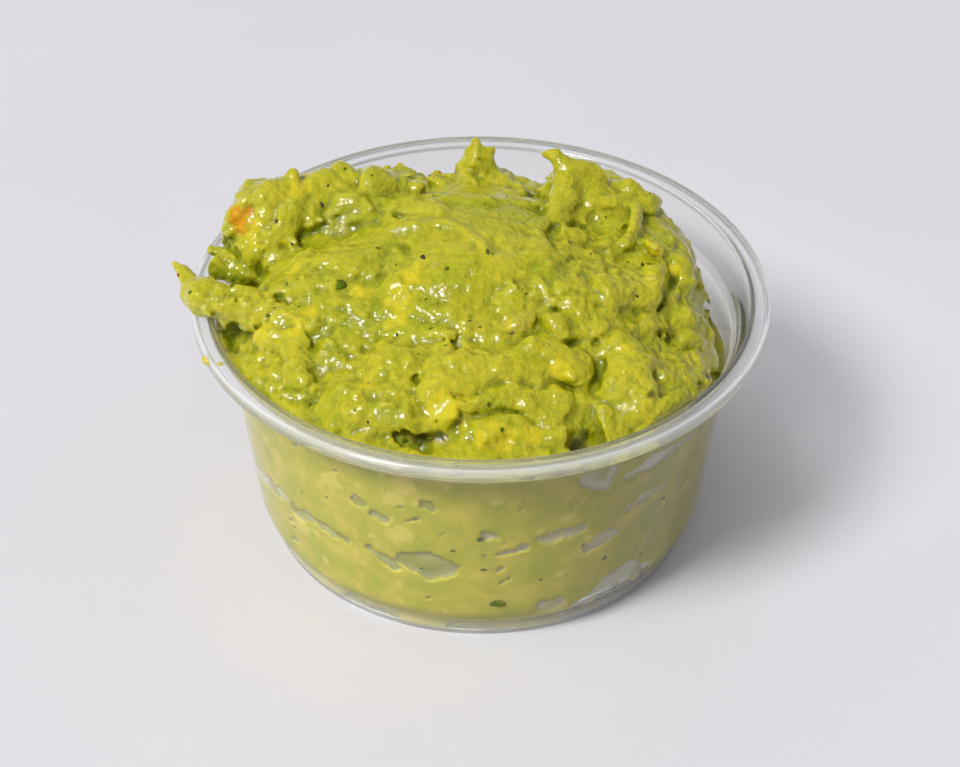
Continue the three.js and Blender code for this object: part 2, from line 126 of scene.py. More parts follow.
def noise(points, size, seed):
    """Smooth noise from about -1 to 1, whose features are about size across."""
    scaled = points / size
    cell = np.floor(scaled).astype(np.int32)
    part = (scaled - cell).astype(np.float32)
    ease = part * part * part * (part * (part * 6 - 15) + 10)
    total = np.zeros(len(points), np.float32)
    for corner in itertools.product((0, 1), repeat=3):
        corner = np.array(corner)
        gradient = GRADIENTS[hashed(cell + corner, seed)]
        weight = np.prod(np.where(corner, ease, 1 - ease), axis=1)
        total += weight * np.einsum("ij,ij->i", gradient, part - corner)
    return total * NOISE_GAIN


def bumps(points, spacing, seed, share, small, large):
    """Height, 0 to 1, of soft round bumps that run together; one at most lies in each jittered cell."""
    cells = np.floor(points / spacing).astype(np.int32)
    total = np.zeros(len(points), np.float32)
    for offset in itertools.product((-1, 0, 1), repeat=3):
        cell = cells + np.array(offset)
        draw = DRAWS[hashed(cell, seed)]
        centre = (cell + draw[:, :3]) * spacing
        radius = small + (large - small) * draw[:, 3]
        away = ((points - centre) ** 2).sum(1) / radius ** 2
        height = np.where(draw[:, 4] < share, np.maximum(1 - away, 0) ** 1.5 * radius / large, 0)
        total += height ** 3
    return np.cbrt(total)


def smooth_step(x, low, high):
    """From 0 at low to 1 at high, with soft ends."""
    t = np.clip((x - low) / (high - low), 0, 1)
    return t * t * (3 - 2 * t)


# ---- the heap's masses and the forms on them ----

MASSES = []  # (centre, radii, blend) of the big soft ellipsoids under everything
SWELLS, DENTS = [], []  # (path, height or depth, edge) of what stands out from them and what is pressed in


def mass(centre, radii, blend):
    """A soft ellipsoid that melts into its neighbours over this blend."""
    MASSES.append((np.array(centre, float), np.array(radii, float), blend))


def swell(path, height, edge):
    """A form this high along a path of (x, y, half width); edge 0.5 gives steep sides and 2 soft ones."""
    SWELLS.append((path, height, edge))


def dent(path, depth, edge):
    """The same, pressed in."""
    DENTS.append((path, depth, edge))


mass([-1, -1, 21], [31.5, 31, 22.5], 2.5)
mass([-1, -1, 36.5], [15, 13, 8.8], 3)
mass([-16, -4, 34.5], [12.5, 12.5, 7.4], 3)
mass([-19, 9, 34], [10.5, 9.5, 7.6], 3)
mass([18, 2, 33], [10.6, 14, 8.3], 3)
mass([11, -8, 35.5], [10, 10, 6.6], 3)
mass([-2, -19, 29.2], [24, 13.5, 7.8], 3)
mass([-21, -12, 29], [10.5, 14, 7.5], 3)
mass([17, -17, 29], [12, 12, 7.2], 3)
mass([0, 14, 33], [12, 9, 7], 3)
mass([-15, 8, 37.2], [9.5, 6.5, 7.6], 2.5)
mass([-26.4, 7.4, 37], [7.2, 6.8, 8.2], 2.5)
mass([16, 9, 36.2], [8.5, 6.5, 7.4], 2.5)
mass([22.2, 3.6, 33.8], [4.6, 7.6, 5.6], 2.5)
mass([0, 16.5, 37], [5.5, 4.5, 4.4], 1.5)
mass([12.4, 10.2, 41], [4.8, 3.2, 5], 1.5)
mass([-12, 20, 34.5], [6.5, 5.5, 4], 1)
mass([3, 20.5, 32.5], [8, 5, 4.5], 1)
mass([15, 19, 35], [6, 5.5, 4.5], 1)
mass([-22, 17, 34], [6, 5.5, 4.5], 1)

# Middle: a broad smooth mound and the soft ridge that the spoon has left round it
swell([(-10, -10, 4.9), (-1.5, -9.5, 5.7), (7.5, -7.5, 4.5)], 0.8, 2)
swell([(-23, -4.5, 1.4), (-17, -5.5, 1.7), (-12, -2, 1.8), (-8.5, 0, 1.8), (-4, -2, 1.6),
       (-0.5, -5, 1.5), (1.5, -9, 1.2)], 1.1, 1)
dent([(-23, 1.5, 1.5), (-17.5, 2, 1.8), (-12.5, 2.5, 1.5)], 0.8, 2)
swell([(-28, 0.5, 0.8), (-19, -2.5, 1), (-13.5, -2.5, 0.8)], 0.7, 1.5)
swell([(4.5, -12.5, 3.2)], 1, 1)
swell([(3.5, -8, 2), (4, -11.5, 2.2)], 0.8, 1)
dent([(8, -13, 0.7), (9, -14, 1), (10.5, -14.5, 0.9)], 0.7, 1)
dent([(-9.5, -3.5, 0.6), (-10, -6, 0.7), (-10.5, -7.5, 0.5)], 0.7, 1)
swell([(-6.5, -13.5, 2.7), (-4, -14.5, 2.2)], 0.6, 1)
dent([(-3.5, -19, 1.5), (-1.5, -18.5, 1)], 0.8, 0.7)
dent([(-27.5, -4.5, 0.9), (-25.5, -7.5, 0.9), (-24, -10.5, 1.1)], 0.8, 0.7)
dent([(-24.8, -18, 0.8), (-23, -19.3, 0.8)], 1.2, 0.7)
dent([(10, -2, 0.7), (10, 0.5, 0.9)], 1.8, 0.7)
swell([(-13.5, -12, 3.2)], 0.5, 1)

# Back left: a row of knobs and the ridges that run from them
swell([(-21, 9, 3.2)], 2.6, 0.7)
swell([(-18, 10.5, 2.6)], 3.2, 0.5)
swell([(-14, 9.5, 2.8)], 2.8, 0.5)
swell([(-11.5, 10.5, 2.3)], 4, 0.5)
swell([(-9.4, 10, 1.9)], 2.6, 0.5)
swell([(-5, 15.5, 1.6)], 2.2, 0.5)
swell([(-18.5, 5, 1), (-16.5, 5, 1)], 1.3, 0.5)
swell([(-14.5, 5, 1.3)], 1.2, 0.5)
swell([(-21, 7, 1.4), (-21.4, 4, 1.3), (-21.4, 3, 1.2)], 1.3, 0.8)
swell([(-24, 7, 1.5), (-24.5, 1.5, 1.5)], 1.5, 0.7)
swell([(-27.5, 6.5, 3)], 1.2, 0.6)
swell([(-31, 5.5, 2.2)], 2, 0.6)
swell([(-10.5, 5.5, 1.4), (-7, 4.5, 1.4), (-4.5, 1, 1.3)], 1.2, 1)

# Back: a cross ridge and the slope that falls from it
swell([(-7.5, 4.5, 1.5), (-1.5, 4.5, 1.8), (5, 6.5, 1.8), (8.5, 7, 1.5)], 1, 1)
swell([(8, 1.5, 1.6), (6.5, -6, 1.9)], 1.2, 0.7)
dent([(9, -1, 0.6), (9, -3, 0.8)], 2, 0.5)

# Right back: torn plates round the curled peak
swell([(14, 6.5, 1.4), (16.5, 7, 1.5), (19, 8.5, 1.3)], 1, 0.7)
swell([(18.5, 9.5, 1.2), (19.5, 6.5, 1.2), (19.5, 3.5, 1.1), (18, 0, 1.1)], 2, 0.5)
swell([(12, -0.5, 1.8)], 1.3, 0.6)
swell([(16, -0.5, 1.9)], 1.3, 0.6)
dent([(15.5, 4.5, 1.9)], 0.8, 1)
swell([(17.8, 11.5, 2.2)], 1.5, 0.5)
swell([(12.2, 11, 2.2), (14.4, 11, 2)], 1.6, 0.5)
swell([(18.5, 10.5, 2.6), (21, 9, 2.2)], 2.3, 0.6)
swell([(21.5, 0.5, 1.4)], 1.6, 0.5)
swell([(25, 3, 1.5)], 0.8, 0.5)
swell([(25.5, -1.5, 2.3)], 1.4, 0.6)
swell([(16, -9, 2.7), (20, -7, 3)], 1.2, 0.7)
swell([(21.5, -4.5, 1.8), (21, -8.5, 1.9)], 2.2, 0.5)
dent([(23.5, -1.5, 0.8), (24.5, -5, 0.9), (23.5, -7.5, 0.8)], 1.2, 1)
dent([(15.5, -12.5, 0.9), (21, -10, 1), (28, -3.5, 0.9)], 0.8, 1)
swell([(28, 1, 0.6), (29, 0.5, 0.6)], 0.8, 0.5)

# Front: a wide folded roll, a layer under it and the lobe that rests on the rim
swell([(-2.5, -22.5, 2.9), (2.5, -21.5, 3.6), (8, -20.5, 3.9), (11, -20.5, 3.2)], 2.4, 0.7)
swell([(-5.5, -22, 2.4)], 1.6, 0.7)
swell([(9.5, -16, 2.3)], 2.1, 0.6)
swell([(5, -16, 2)], 1, 0.6)
swell([(-1.5, -26.2, 1.8), (4, -25.6, 2), (10, -24.9, 1.8)], 1.4, 0.5)
swell([(9, -26, 1.5)], 1.6, 0.5)
swell([(0, -29.5, 1.7), (5, -29, 2), (10, -28.2, 1.8)], 1.8, 0.8)
swell([(-7.5, -17.5, 0.7), (-4, -18, 0.7)], 1.6, 0.4)
swell([(-15.5, -25.5, 3.9), (-9.5, -26.5, 4.1)], 2, 0.6)
swell([(-11, -21.5, 4.4)], 1.2, 1)
swell([(-16, -23.5, 2.4)], 2.6, 0.6)
swell([(-5, -24, 1.9), (-4, -26.5, 1.8), (-4, -27.5, 1.4)], 3, 0.4)
dent([(-1, -24.4, 0.5), (4, -24, 0.5), (9, -23.2, 0.5)], 0.5, 1)
dent([(0, -27.8, 0.45), (5, -27.4, 0.45), (9, -26.8, 0.45)], 0.5, 1)
dent([(-10, -29.4, 1.1), (-7, -29.7, 1.6), (-3.3, -29.3, 1.2)], 3, 0.6)

# Left: a tongue folded over the low layer at the rim, and the knobs above it
swell([(-27, -13, 2), (-24, -15, 2.3), (-22, -17.5, 2.2)], 2, 0.4)
swell([(-24, -17.5, 1.8), (-21.5, -20, 1.9)], 1.5, 0.4)
swell([(-23, -14, 1.2)], 2.5, 0.5)
swell([(-18.5, -16.5, 2.9)], 1.2, 1)
swell([(-28.5, 1, 1.8), (-29, 0, 1.7)], 2, 0.5)
swell([(-25, -7.5, 1.5)], 1.9, 0.5)
swell([(-21.5, -8, 3)], 1, 0.8)
dent([(-22.5, -11.5, 1.2)], 1.5, 0.5)
swell([(-32, 4.5, 1.8)], 1, 0.6)

# Right front: one big folded lump with a crest, and the crack beside it
swell([(17.5, -17, 2.9), (18, -22, 3.2), (19.5, -24.5, 2.4)], 2.2, 0.5)
swell([(16, -17.5, 2.2)], 1.2, 0.6)
swell([(21, -12.5, 1.6)], 2.3, 0.5)
swell([(26, -8, 3), (29, -4, 3.1)], 2, 0.5)
swell([(21, -25.5, 1.2), (25.5, -22, 1.2)], 1.4, 0.5)
swell([(18, -26, 1.4)], 3, 0.5)
swell([(15, -25.5, 1.3), (15, -28.5, 1.6)], 2.5, 0.4)
dent([(27.5, -19, 1.2)], 3, 0.5)
dent([(13.3, -25, 1), (12.9, -27.5, 1.6), (12.5, -29, 2.1), (12.2, -30.5, 2.1)], 7, 0.6)
dent([(13.5, -17.5, 0.8), (14.5, -20, 0.9), (13.5, -24, 0.9)], 1.2, 0.7)
dent([(15, -13.5, 1.1), (20, -11.5, 1.1)], 0.7, 0.8)
dent([(26.5, -17.5, 1.1), (28.5, -18.5, 1.5)], 3.5, 0.6)

# Strings and peaks that the spoon has pulled out, as points (x, y, z, radius)
STRINGS = [
    [[-20, -13, 36.8, 2.6], [-26, -9.8, 37.2, 2.5], [-31, -8, 37.3, 2.5], [-34.8, -6.4, 37.2, 2.4],
     [-36.3, -5.4, 37.1, 1.7]],
    [[-35.6, -5.2, 37.5, 1.3], [-37.2, -3, 38.1, 1], [-38.9, -1, 38.7, 0.45]],
    [[-30, 2, 36.8, 1.6], [-32.4, 2.4, 37.3, 0.9], [-34.7, 3.1, 38, 0.45]],
    [[-30.5, 0.6, 35.9, 1.9], [-32.6, 0.7, 36.1, 1.1], [-33.6, 0.8, 36.3, 1.2]],
    [[-24.4, 7.0, 42.4, 2.4], [-24.6, 8.0, 44.3, 1.6], [-24.3, 8.8, 45.7, 0.9]],
    [[-0.8, 17.3, 40.9, 2.2], [-0.8, 18.0, 43.0, 1.4], [-0.8, 18.3, 44.7, 0.8]],
    [[0.7, 17.4, 41.5, 1.5], [0.9, 17.8, 43.3, 0.9]],
    [[8.9, 1.0, 41.3, 2.4], [9.7, 4.5, 42.6, 2.2], [10.4, 7.5, 43.7, 1.9], [10.7, 9.5, 45.0, 1.5],
     [10.4, 11.0, 46.3, 1.3], [9.5, 11.5, 47.2, 1], [8.0, 11.8, 47.2, 0.4]],
    [[12.1, 5.0, 41.4, 1.7], [12.0, 8.0, 42.8, 1.5], [11.5, 10.0, 44.4, 1.2], [10.8, 11.2, 45.9, 1]],
]
STRING_BLEND = 0.7

# How high the filling touches the wall, and how high the heap does, by angle in degrees from +X
FILLING_CONTACT = [
    (-180, 30.8), (-150, 31), (-120, 31.8), (-90, 32.3), (-75, 31.8), (-60, 29), (-35, 26), (-10, 24.5),
    (15, 24), (45, 25), (70, 27.5), (90, 28.3), (115, 28.5), (150, 30), (180, 30.8),
]
HEAP_CONTACT = [
    (-180, 30.6), (-150, 32), (-120, 32.6), (-90, 32.6), (-75, 32.3), (-60, 31.6), (-48, 31), (-40, 28.5),
    (-30, 25.2), (-10, 24), (15, 23.5), (45, 24.5), (70, 27), (90, 27.8), (115, 28), (150, 29.6), (180, 30.6),
]
WALL_BITE = 0.34  # how far the filling reaches into the plastic
HEAP_BITE = 0.12  # how far the heap does, where the two meet


def table_height(table, degrees):
    """The height that a table of (angle, height) gives at these angles."""
    angles, heights = zip(*table)
    return np.interp(degrees, angles, heights)


def filling_contact(degrees):
    """How high the filling touches the wall at these angles."""
    return table_height(FILLING_CONTACT, degrees)


# ---- the heap's field ----

GRID_STEP = 0.344
GRID_LOW = np.array([-41.0, -34.0, 22.0])
GRID_HIGH = np.array([33.0, 33.0, 50.0])
HEAP_FLOOR = 23.0  # the heap is shut off here, out of sight inside the filling
HEAP_INSET = 0.9  # how far it stays inside the wall away from the contact line
PRESSED_OVER = 0.8  # how far above and below the contact line it touches the wall
LIP_CLEARANCE = 0.15  # the gap under what leans over the lip
BAND = 1.8  # how far from the plain surface the low relief is worked out
REACH = 2.5  # how far past its own surface a string is worked out
FORM_BAND = 5.0  # how far from the masses' surface the forms are felt
FORM_BLEND = 0.5
FORM_REACH = 2.2  # how far past its half width a form may wander
WANDER = (1.1, 5.0)  # how far the forms wander, and the size of that wander's waves
FINE_WANDER = (0.35, 2.1)
LEVEL_SLOPE = 0.22  # how fast the top level of the low parts rises from the wall inwards
LEVEL_BLEND = 0.8


def kneaded(x, y, z):
    """A slow wander in the place of every form, so that none keeps a plain round outline."""
    return (
        x + 0.55 * np.sin(0.40 * y + 0.30 * z + 0.7) + 0.22 * np.sin(0.95 * y - 0.70 * z + 2.1),
        y + 0.55 * np.sin(0.38 * x - 0.33 * z + 1.9) + 0.22 * np.sin(0.90 * x + 0.75 * z + 0.4),
        z + 0.30 * np.sin(0.43 * x + 0.36 * y + 3.0) + 0.18 * np.sin(0.98 * x - 0.86 * y + 1.1),
    )


def ellipsoid_distance(x, y, z, centre, radii):
    """Near enough the distance outside an ellipsoid, and below zero inside it."""
    dx, dy, dz = x - centre[0], y - centre[1], z - centre[2]
    scaled = np.sqrt((dx / radii[0]) ** 2 + (dy / radii[1]) ** 2 + (dz / radii[2]) ** 2)
    slope = np.sqrt((dx / radii[0] ** 2) ** 2 + (dy / radii[1] ** 2) ** 2 + (dz / radii[2] ** 2) ** 2) + 1e-9
    return scaled * (scaled - 1) / slope


def segments(x, y, z, spine):
    """The distance from each segment of a spine, and the spine's half width at the nearest point of it."""
    for (ax, ay, az, ar), (bx, by, bz, br) in zip(spine[:-1], spine[1:]):
        dx, dy, dz = bx - ax, by - ay, bz - az
        along = ((x - ax) * dx + (y - ay) * dy + (z - az) * dz) / (dx * dx + dy * dy + dz * dz)
        t = np.clip(along, 0, 1)
        away = np.sqrt((x - ax - t * dx) ** 2 + (y - ay - t * dy) ** 2 + (z - az - t * dz) ** 2)
        yield away, ar + t * (br - ar)


def spine_distance(x, y, z, spine):
    """The distance outside a tapered string through these points."""
    nearest = np.full(x.shape, np.inf, np.float32)
    for away, half in segments(x, y, z, spine):
        nearest = np.minimum(nearest, away - half)
    return nearest


def smooth_min(a, b, blend):
    """The smaller of two values, rounded where they cross."""
    overlap = np.maximum(blend - np.abs(a - b), 0) / blend
    return np.minimum(a, b) - overlap * overlap * blend / 4


class Grid:
    """A block of evenly spaced points, with a value at each."""

    def __init__(self, low, high, step):
        self.low, self.step = low, step
        self.axes = [np.arange(low[k], high[k] + step / 2, step, dtype=np.float32) for k in range(3)]
        self.shape = tuple(len(axis) for axis in self.axes)
        self.x, self.y, self.z = np.meshgrid(*self.axes, indexing="ij")

    def window(self, low, high):
        """The slices of the grid from low to high."""
        spans = []
        for k in range(3):
            first = max(0, int((low[k] - self.low[k]) / self.step))
            last = min(self.shape[k], int((high[k] - self.low[k]) / self.step) + 2)
            spans.append(slice(first, max(last, first)))
        return tuple(spans)

    def sample(self, values, points):
        """Values between the grid's points, straight-line blended."""
        scaled = (points - self.low) / self.step
        limit = np.array(self.shape) - 1.001
        scaled = np.clip(scaled, 0, limit)
        cell = scaled.astype(np.int32)
        part = scaled - cell
        total = np.zeros(len(points))
        for corner in itertools.product((0, 1), repeat=3):
            weight = np.prod(np.where(corner, part, 1 - part), axis=1)
            index = tuple(cell[:, k] + corner[k] for k in range(3))
            total += weight * values[index]
        return total


def masses_distance(x, y, z):
    """Distance outside the big masses, for arrays of any one shape."""
    value = np.full(np.shape(x), 1e3)
    for centre, radii, blend in MASSES:
        value = smooth_min(value, ellipsoid_distance(x, y, z, centre, radii), blend)
    return value


def on_masses(path):
    """The path with the height of the masses' top under each of its points."""
    heights = np.arange(50, 24, -0.1)
    spine = []
    for x, y, half in path:
        away = masses_distance(np.full_like(heights, x), np.full_like(heights, y), heights)
        spine.append((x, y, heights[np.argmax(away < 0)], half))
    return spine


def along_spine(x, y, z, spine):
    """Distance from the spine as a share of its half width there."""
    if len(spine) == 1:
        cx, cy, cz, half = spine[0]
        return np.sqrt((x - cx) ** 2 + (y - cy) ** 2 + (z - cz) ** 2) / half
    nearest = np.full(x.shape, np.inf)
    for away, half in segments(x, y, z, spine):
        nearest = np.minimum(nearest, away / half)
    return nearest


def form_profile(grid, x, y, z, path, edge):
    """Where a form can be felt on the grid, and its height there as a share of its full height."""
    spine = np.array(on_masses(path))
    reach = spine[:, 3:].max() + FORM_REACH
    span = grid.window(spine[:, :3].min(0) - reach, spine[:, :3].max(0) + reach)
    share = along_spine(x[span], y[span], z[span], [tuple(row) for row in spine])
    return span, np.maximum(1 - share ** 2, 0) ** edge


def raised(grid, x, y, z):
    """How far the swells stand out from the masses, on the grid."""
    height = np.zeros(grid.shape, np.float32)
    for path, tall, edge in SWELLS:
        span, profile = form_profile(grid, x, y, z, path, edge)
        form = (tall + FORM_BLEND) * profile - FORM_BLEND
        height[span] = -smooth_min(-height[span], -form, FORM_BLEND)
    return height


def pressed(grid, x, y, z):
    """How deep the dents and cracks are, on the grid."""
    depth = np.zeros(grid.shape, np.float32)
    for path, deep, edge in DENTS:
        span, profile = form_profile(grid, x, y, z, path, edge)
        depth[span] += deep * profile
    return depth


def heap_field(grid):
    """Below zero inside the heap, and close to a distance near its surface."""
    value = masses_distance(grid.x, grid.y, grid.z).astype(np.float32)
    near = np.abs(value) < FORM_BAND
    points = np.stack([grid.x[near], grid.y[near], grid.z[near]], axis=1)
    warped = list(kneaded(grid.x, grid.y, grid.z))
    far, size = WANDER
    fine_far, fine_size = FINE_WANDER
    for axis in range(3):
        wave = far * noise(points, size, 31 + axis) + fine_far * noise(points, fine_size, 41 + axis)
        warped[axis][near] += wave
    uneven = np.ones(grid.shape, np.float32)
    uneven[near] += 0.3 * noise(points, 3.6, 35)
    value -= raised(grid, *warped) * uneven * smooth_step(FORM_BAND - np.abs(value), 0, 0.5)
    for spine in STRINGS:
        spine = np.array(spine)
        thick = spine[:, 3].max() + REACH
        span = grid.window(spine[:, :3].min(0) - thick, spine[:, :3].max(0) + thick)
        away = spine_distance(grid.x[span], grid.y[span], grid.z[span], spine)
        value[span] = smooth_min(value[span], away, STRING_BLEND)
    angle = np.degrees(np.arctan2(grid.y, grid.x))
    inward = MOUTH_RADIUS - np.hypot(grid.x, grid.y)
    level = table_height(HEAP_CONTACT, angle) + LEVEL_SLOPE * inward
    return smooth_min(value, grid.z - level, LEVEL_BLEND) + pressed(grid, *warped)


# The low relief's bumps: spacing, seed, share of the cells that have one, smallest and largest radius
LUMPS = (3.4, 7, 0.75, 1.4, 2.8)
CHUNKS = (2.2, 17, 0.75, 0.8, 1.8)
CRUMBS = (1.4, 8, 0.85, 0.6, 1.2)
GRAINS = (0.95, 10, 0.8, 0.4, 0.8)
LUMP_HEIGHT = 0.55
CHUNK_HEIGHT = 0.60
CRUMB_HEIGHT = 0.50
GRAIN_HEIGHT = 0.30
RELIEF_SINK = 0.3  # brings the mean of the lumps and chunks back to the plain surface
CREASE_DEPTH = 0.16
CREASE_WIDTH = 0.18
CALM_SHARE = 0.55  # how much smoother the mash is at the back right and on the low front lobe
THIN_SHARE = 0.65  # how much lower the relief is on thin peaks and on the string's end


def relief(points):
    """How far the mash stands out from the plain dollops, and how chunky it is there."""
    x, y, z = points.T
    warp = np.stack([noise(points, 5.0, seed) for seed in (1, 2, 3)], axis=1)
    ripple = np.stack([noise(points, 1.6, seed) for seed in (51, 52, 53)], axis=1)
    bent = points + 1.2 * warp + 0.3 * ripple
    outer = smooth_step(np.hypot(x + 1, y + 2), 10, 22)
    rough = smooth_step(noise(points, 8.0, 4) + 0.8 * outer, -0.5, 0.7)
    back_right = smooth_step(x, 11, 17) * smooth_step(y, -8, -3)
    low_lobe = smooth_step(-y, 24, 26) * smooth_step(-np.abs(x - 5), -8, -6)
    rough *= 1 - CALM_SHARE * np.maximum(back_right, low_lobe)
    lumps = bumps(bent, *LUMPS)
    chunks = bumps(bent, *CHUNKS)
    crumbs = bumps(bent, *CRUMBS)
    grains = bumps(points + 0.25 * ripple, *GRAINS)
    height = 0.30 * noise(bent, 6.5, 5) + 0.22 * noise(bent, 2.8, 6) + 0.12 * noise(bent, 1.3, 9)
    height += (LUMP_HEIGHT * lumps * (0.1 + 0.9 * rough) + CHUNK_HEIGHT * chunks * (0.15 + 0.85 * rough)
               - RELIEF_SINK)
    height += CRUMB_HEIGHT * crumbs * (0.45 + 0.55 * rough) + GRAIN_HEIGHT * grains * (0.6 + 0.4 * rough)
    height -= CREASE_DEPTH * np.maximum(CREASE_WIDTH - np.abs(noise(bent, 4.5, 12)), 0) / CREASE_WIDTH
    thin = np.maximum(smooth_step(z, 43, 45.5), smooth_step(-x, 34, 36.5))
    height *= 1 - THIN_SHARE * thin
    return height.astype(np.float32), np.maximum(lumps, chunks) * rough


def surface_nets(values, grid):
    """One vertex in each grid cell that the surface crosses, and one quad over each grid edge it crosses."""
    inside = values < 0
    shape = np.array(values.shape)
    corners = list(itertools.product((0, 1), repeat=3))
    some = np.zeros(tuple(shape - 1), bool)
    every = np.ones(tuple(shape - 1), bool)
    for corner in corners:
        view = inside[tuple(slice(c, size - 1 + c) for c, size in zip(corner, shape))]
        some |= view
        every &= view
    crossed = some & ~every
    cells = np.argwhere(crossed)
    total = np.zeros((len(cells), 3))
    count = np.zeros(len(cells))
    at = {c: values[tuple((cells + c).T)] for c in corners}
    for start in corners:
        for axis in range(3):
            if start[axis]:
                continue
            end = list(start)
            end[axis] = 1
            a, b = at[start], at[tuple(end)]
            cut = (a < 0) != (b < 0)
            t = np.where(cut, a / np.where(cut, a - b, 1), 0)
            point = np.tile(np.array(start, float), (len(cells), 1))
            point[:, axis] = t
            total += np.where(cut[:, None], point, 0)
            count += cut
    vertices = (cells + total / count[:, None]) * grid.step + grid.low
    number = np.full(crossed.shape, -1, np.int32)
    number[crossed] = np.arange(len(cells))
    quads = []
    for axis in range(3):
        first = [slice(None)] * 3
        second = [slice(None)] * 3
        first[axis] = slice(0, -1)
        second[axis] = slice(1, None)
        change = inside[tuple(first)] != inside[tuple(second)]
        u, v = (axis + 1) % 3, (axis + 2) % 3
        edges = np.argwhere(change)
        ok = np.all([(edges[:, k] > 0) & (edges[:, k] < shape[k] - 1) for k in (u, v)], axis=0)
        edges = edges[ok]
        outward = inside[tuple(edges.T)]
        ring = []
        for du, dv in ((-1, -1), (0, -1), (0, 0), (-1, 0)):
            cell = edges.copy()
            cell[:, u] += du
            cell[:, v] += dv
            ring.append(number[tuple(cell.T)])
        ring = np.stack(ring, axis=1)
        quads.append(np.where(outward[:, None], ring, ring[:, ::-1]))
    return vertices, np.concatenate(quads)


def mesh_object(name, vertices, groups, attributes=()):
    """A smooth-shaded mesh of millimetre vertices, groups of like-sided faces and float point attributes."""
    mesh = bpy.data.meshes.new(name)
    groups = [np.atleast_2d(np.asarray(group, np.int32)) for group in groups]
    sides = np.concatenate([np.full(len(group), group.shape[1]) for group in groups])
    loops = np.concatenate([group.ravel() for group in groups])
    mesh.vertices.add(len(vertices))
    mesh.vertices.foreach_set("co", (np.asarray(vertices, np.float32) * MM).ravel())
    mesh.loops.add(len(loops))
    mesh.loops.foreach_set("vertex_index", loops)
    mesh.polygons.add(len(sides))
    mesh.polygons.foreach_set("loop_start", np.concatenate([[0], np.cumsum(sides)[:-1]]).astype(np.int32))
    mesh.update(calc_edges=True)
    mesh.polygons.foreach_set("use_smooth", np.ones(len(sides), bool))
    for label, values in attributes:
        layer = mesh.attributes.new(label, "FLOAT", "POINT")
        layer.data.foreach_set("value", np.asarray(values, np.float32))
    mesh.validate()
    piece = bpy.data.objects.new(name, mesh)
    bpy.context.scene.collection.objects.link(piece)
    return piece


def plain_floor(vertices, quads, floor):
    """Swaps the flat floor's fine faces for a fan from one middle point.

    Gives the points, quads and fan triangles that are left, and which of the old points they use.
    """
    flat = (vertices[quads, 2] < floor).all(axis=1)
    quads = quads[~flat]
    edges = np.concatenate([quads[:, [k, (k + 1) % 4]] for k in range(4)])
    keys = np.sort(edges, axis=1)
    pairs = keys[:, 0].astype(np.int64) * len(vertices) + keys[:, 1]
    _, first, count = np.unique(pairs, return_index=True, return_counts=True)
    open_edges = edges[first[count == 1]]
    ring = np.unique(open_edges)
    middle = np.append(vertices[ring, :2].mean(axis=0), vertices[ring, 2].mean())
    fan = np.column_stack([open_edges[:, 1], open_edges[:, 0], np.full(len(open_edges), len(vertices))])
    vertices = np.vstack([vertices, middle])
    used = np.unique(np.concatenate([quads.ravel(), fan.ravel()]))
    renumber = np.zeros(len(vertices), int)
    renumber[used] = np.arange(len(used))
    return vertices[used], renumber[quads], renumber[fan], used


def turned(name, radius, height, ring, label, values):
    """A turned surface through rows of radius and height, capped at both ends, with one attribute.

    The points of each row stand at the ring's angles, in radians.
    """
    vertices = np.stack([radius * np.cos(ring), radius * np.sin(ring), height], axis=-1).reshape(-1, 3)
    index = np.arange(radius.size).reshape(radius.shape)
    across = np.roll(index, -1, axis=1)
    quads = np.stack([index[:-1], across[:-1], across[1:], index[1:]], axis=-1).reshape(-1, 4)
    caps = np.array([index[0][::-1], index[-1]])
    return mesh_object(name, vertices, [quads, caps], [(label, values.ravel())])


MAX_PASSES = 200  # more than the passes that joining a connected surface takes


def largest_part(vertices, quads):
    """Drops every loose scrap, so that one closed surface is left."""
    parent = np.arange(len(vertices))
    for _ in range(MAX_PASSES):
        low = parent[quads].min(axis=1)
        before = parent.copy()
        for k in range(4):
            np.minimum.at(parent, quads[:, k], low)
        parent = parent[parent]
        if np.array_equal(before, parent):
            break
    sizes = np.bincount(parent, minlength=len(vertices))
    kept = parent == sizes.argmax()
    renumber = np.cumsum(kept) - 1
    quads = quads[kept[quads[:, 0]]]
    return vertices[kept], renumber[quads]


def vertex_normals(vertices, quads):
    """Unit normals, each the sum over the faces round a vertex."""
    a, b, c, d = (vertices[quads[:, k]] for k in range(4))
    face = np.cross(c - a, d - b)
    total = np.zeros_like(vertices)
    for k in range(4):
        for axis in range(3):
            total[:, axis] += np.bincount(quads[:, k], face[:, axis], len(vertices))
    return total / (np.linalg.norm(total, axis=1, keepdims=True) + 1e-12)


def neighbour_mean(values, quads, count):
    """The mean of each vertex's neighbours, for a column or for points."""
    values = values.reshape(count, -1)
    total = np.zeros_like(values)
    shares = np.zeros(count)
    for k in range(4):
        a, b = quads[:, k], quads[:, (k + 1) % 4]
        for start, end in ((a, b), (b, a)):
            shares += np.bincount(start, minlength=count)
            for column in range(values.shape[1]):
                total[:, column] += np.bincount(start, values[end, column], count)
    return total / np.maximum(shares, 1)[:, None]


def cavity(vertices, quads, normals, rounds):
    """How far each vertex lies under the smoothed surface round it: above zero in a crease."""
    smooth = vertices.copy()
    for _ in range(rounds):
        smooth = neighbour_mean(smooth, quads, len(vertices))
    return np.einsum("ij,ij->i", smooth - vertices, normals)


def openness(points, normals, grid, values, reaches):
    """From 0 in a deep gap to 1 in the open, by stepping out from the surface."""
    total = np.ones(len(points))
    for reach in reaches:
        clear = grid.sample(values, points + normals * reach) / reach
        total *= np.clip(0.25 + 0.75 * clear, 0, 1)
    return total


CREASE_ROUNDS = 12
GAP_REACHES = (1.0, 2.5, 5.0)


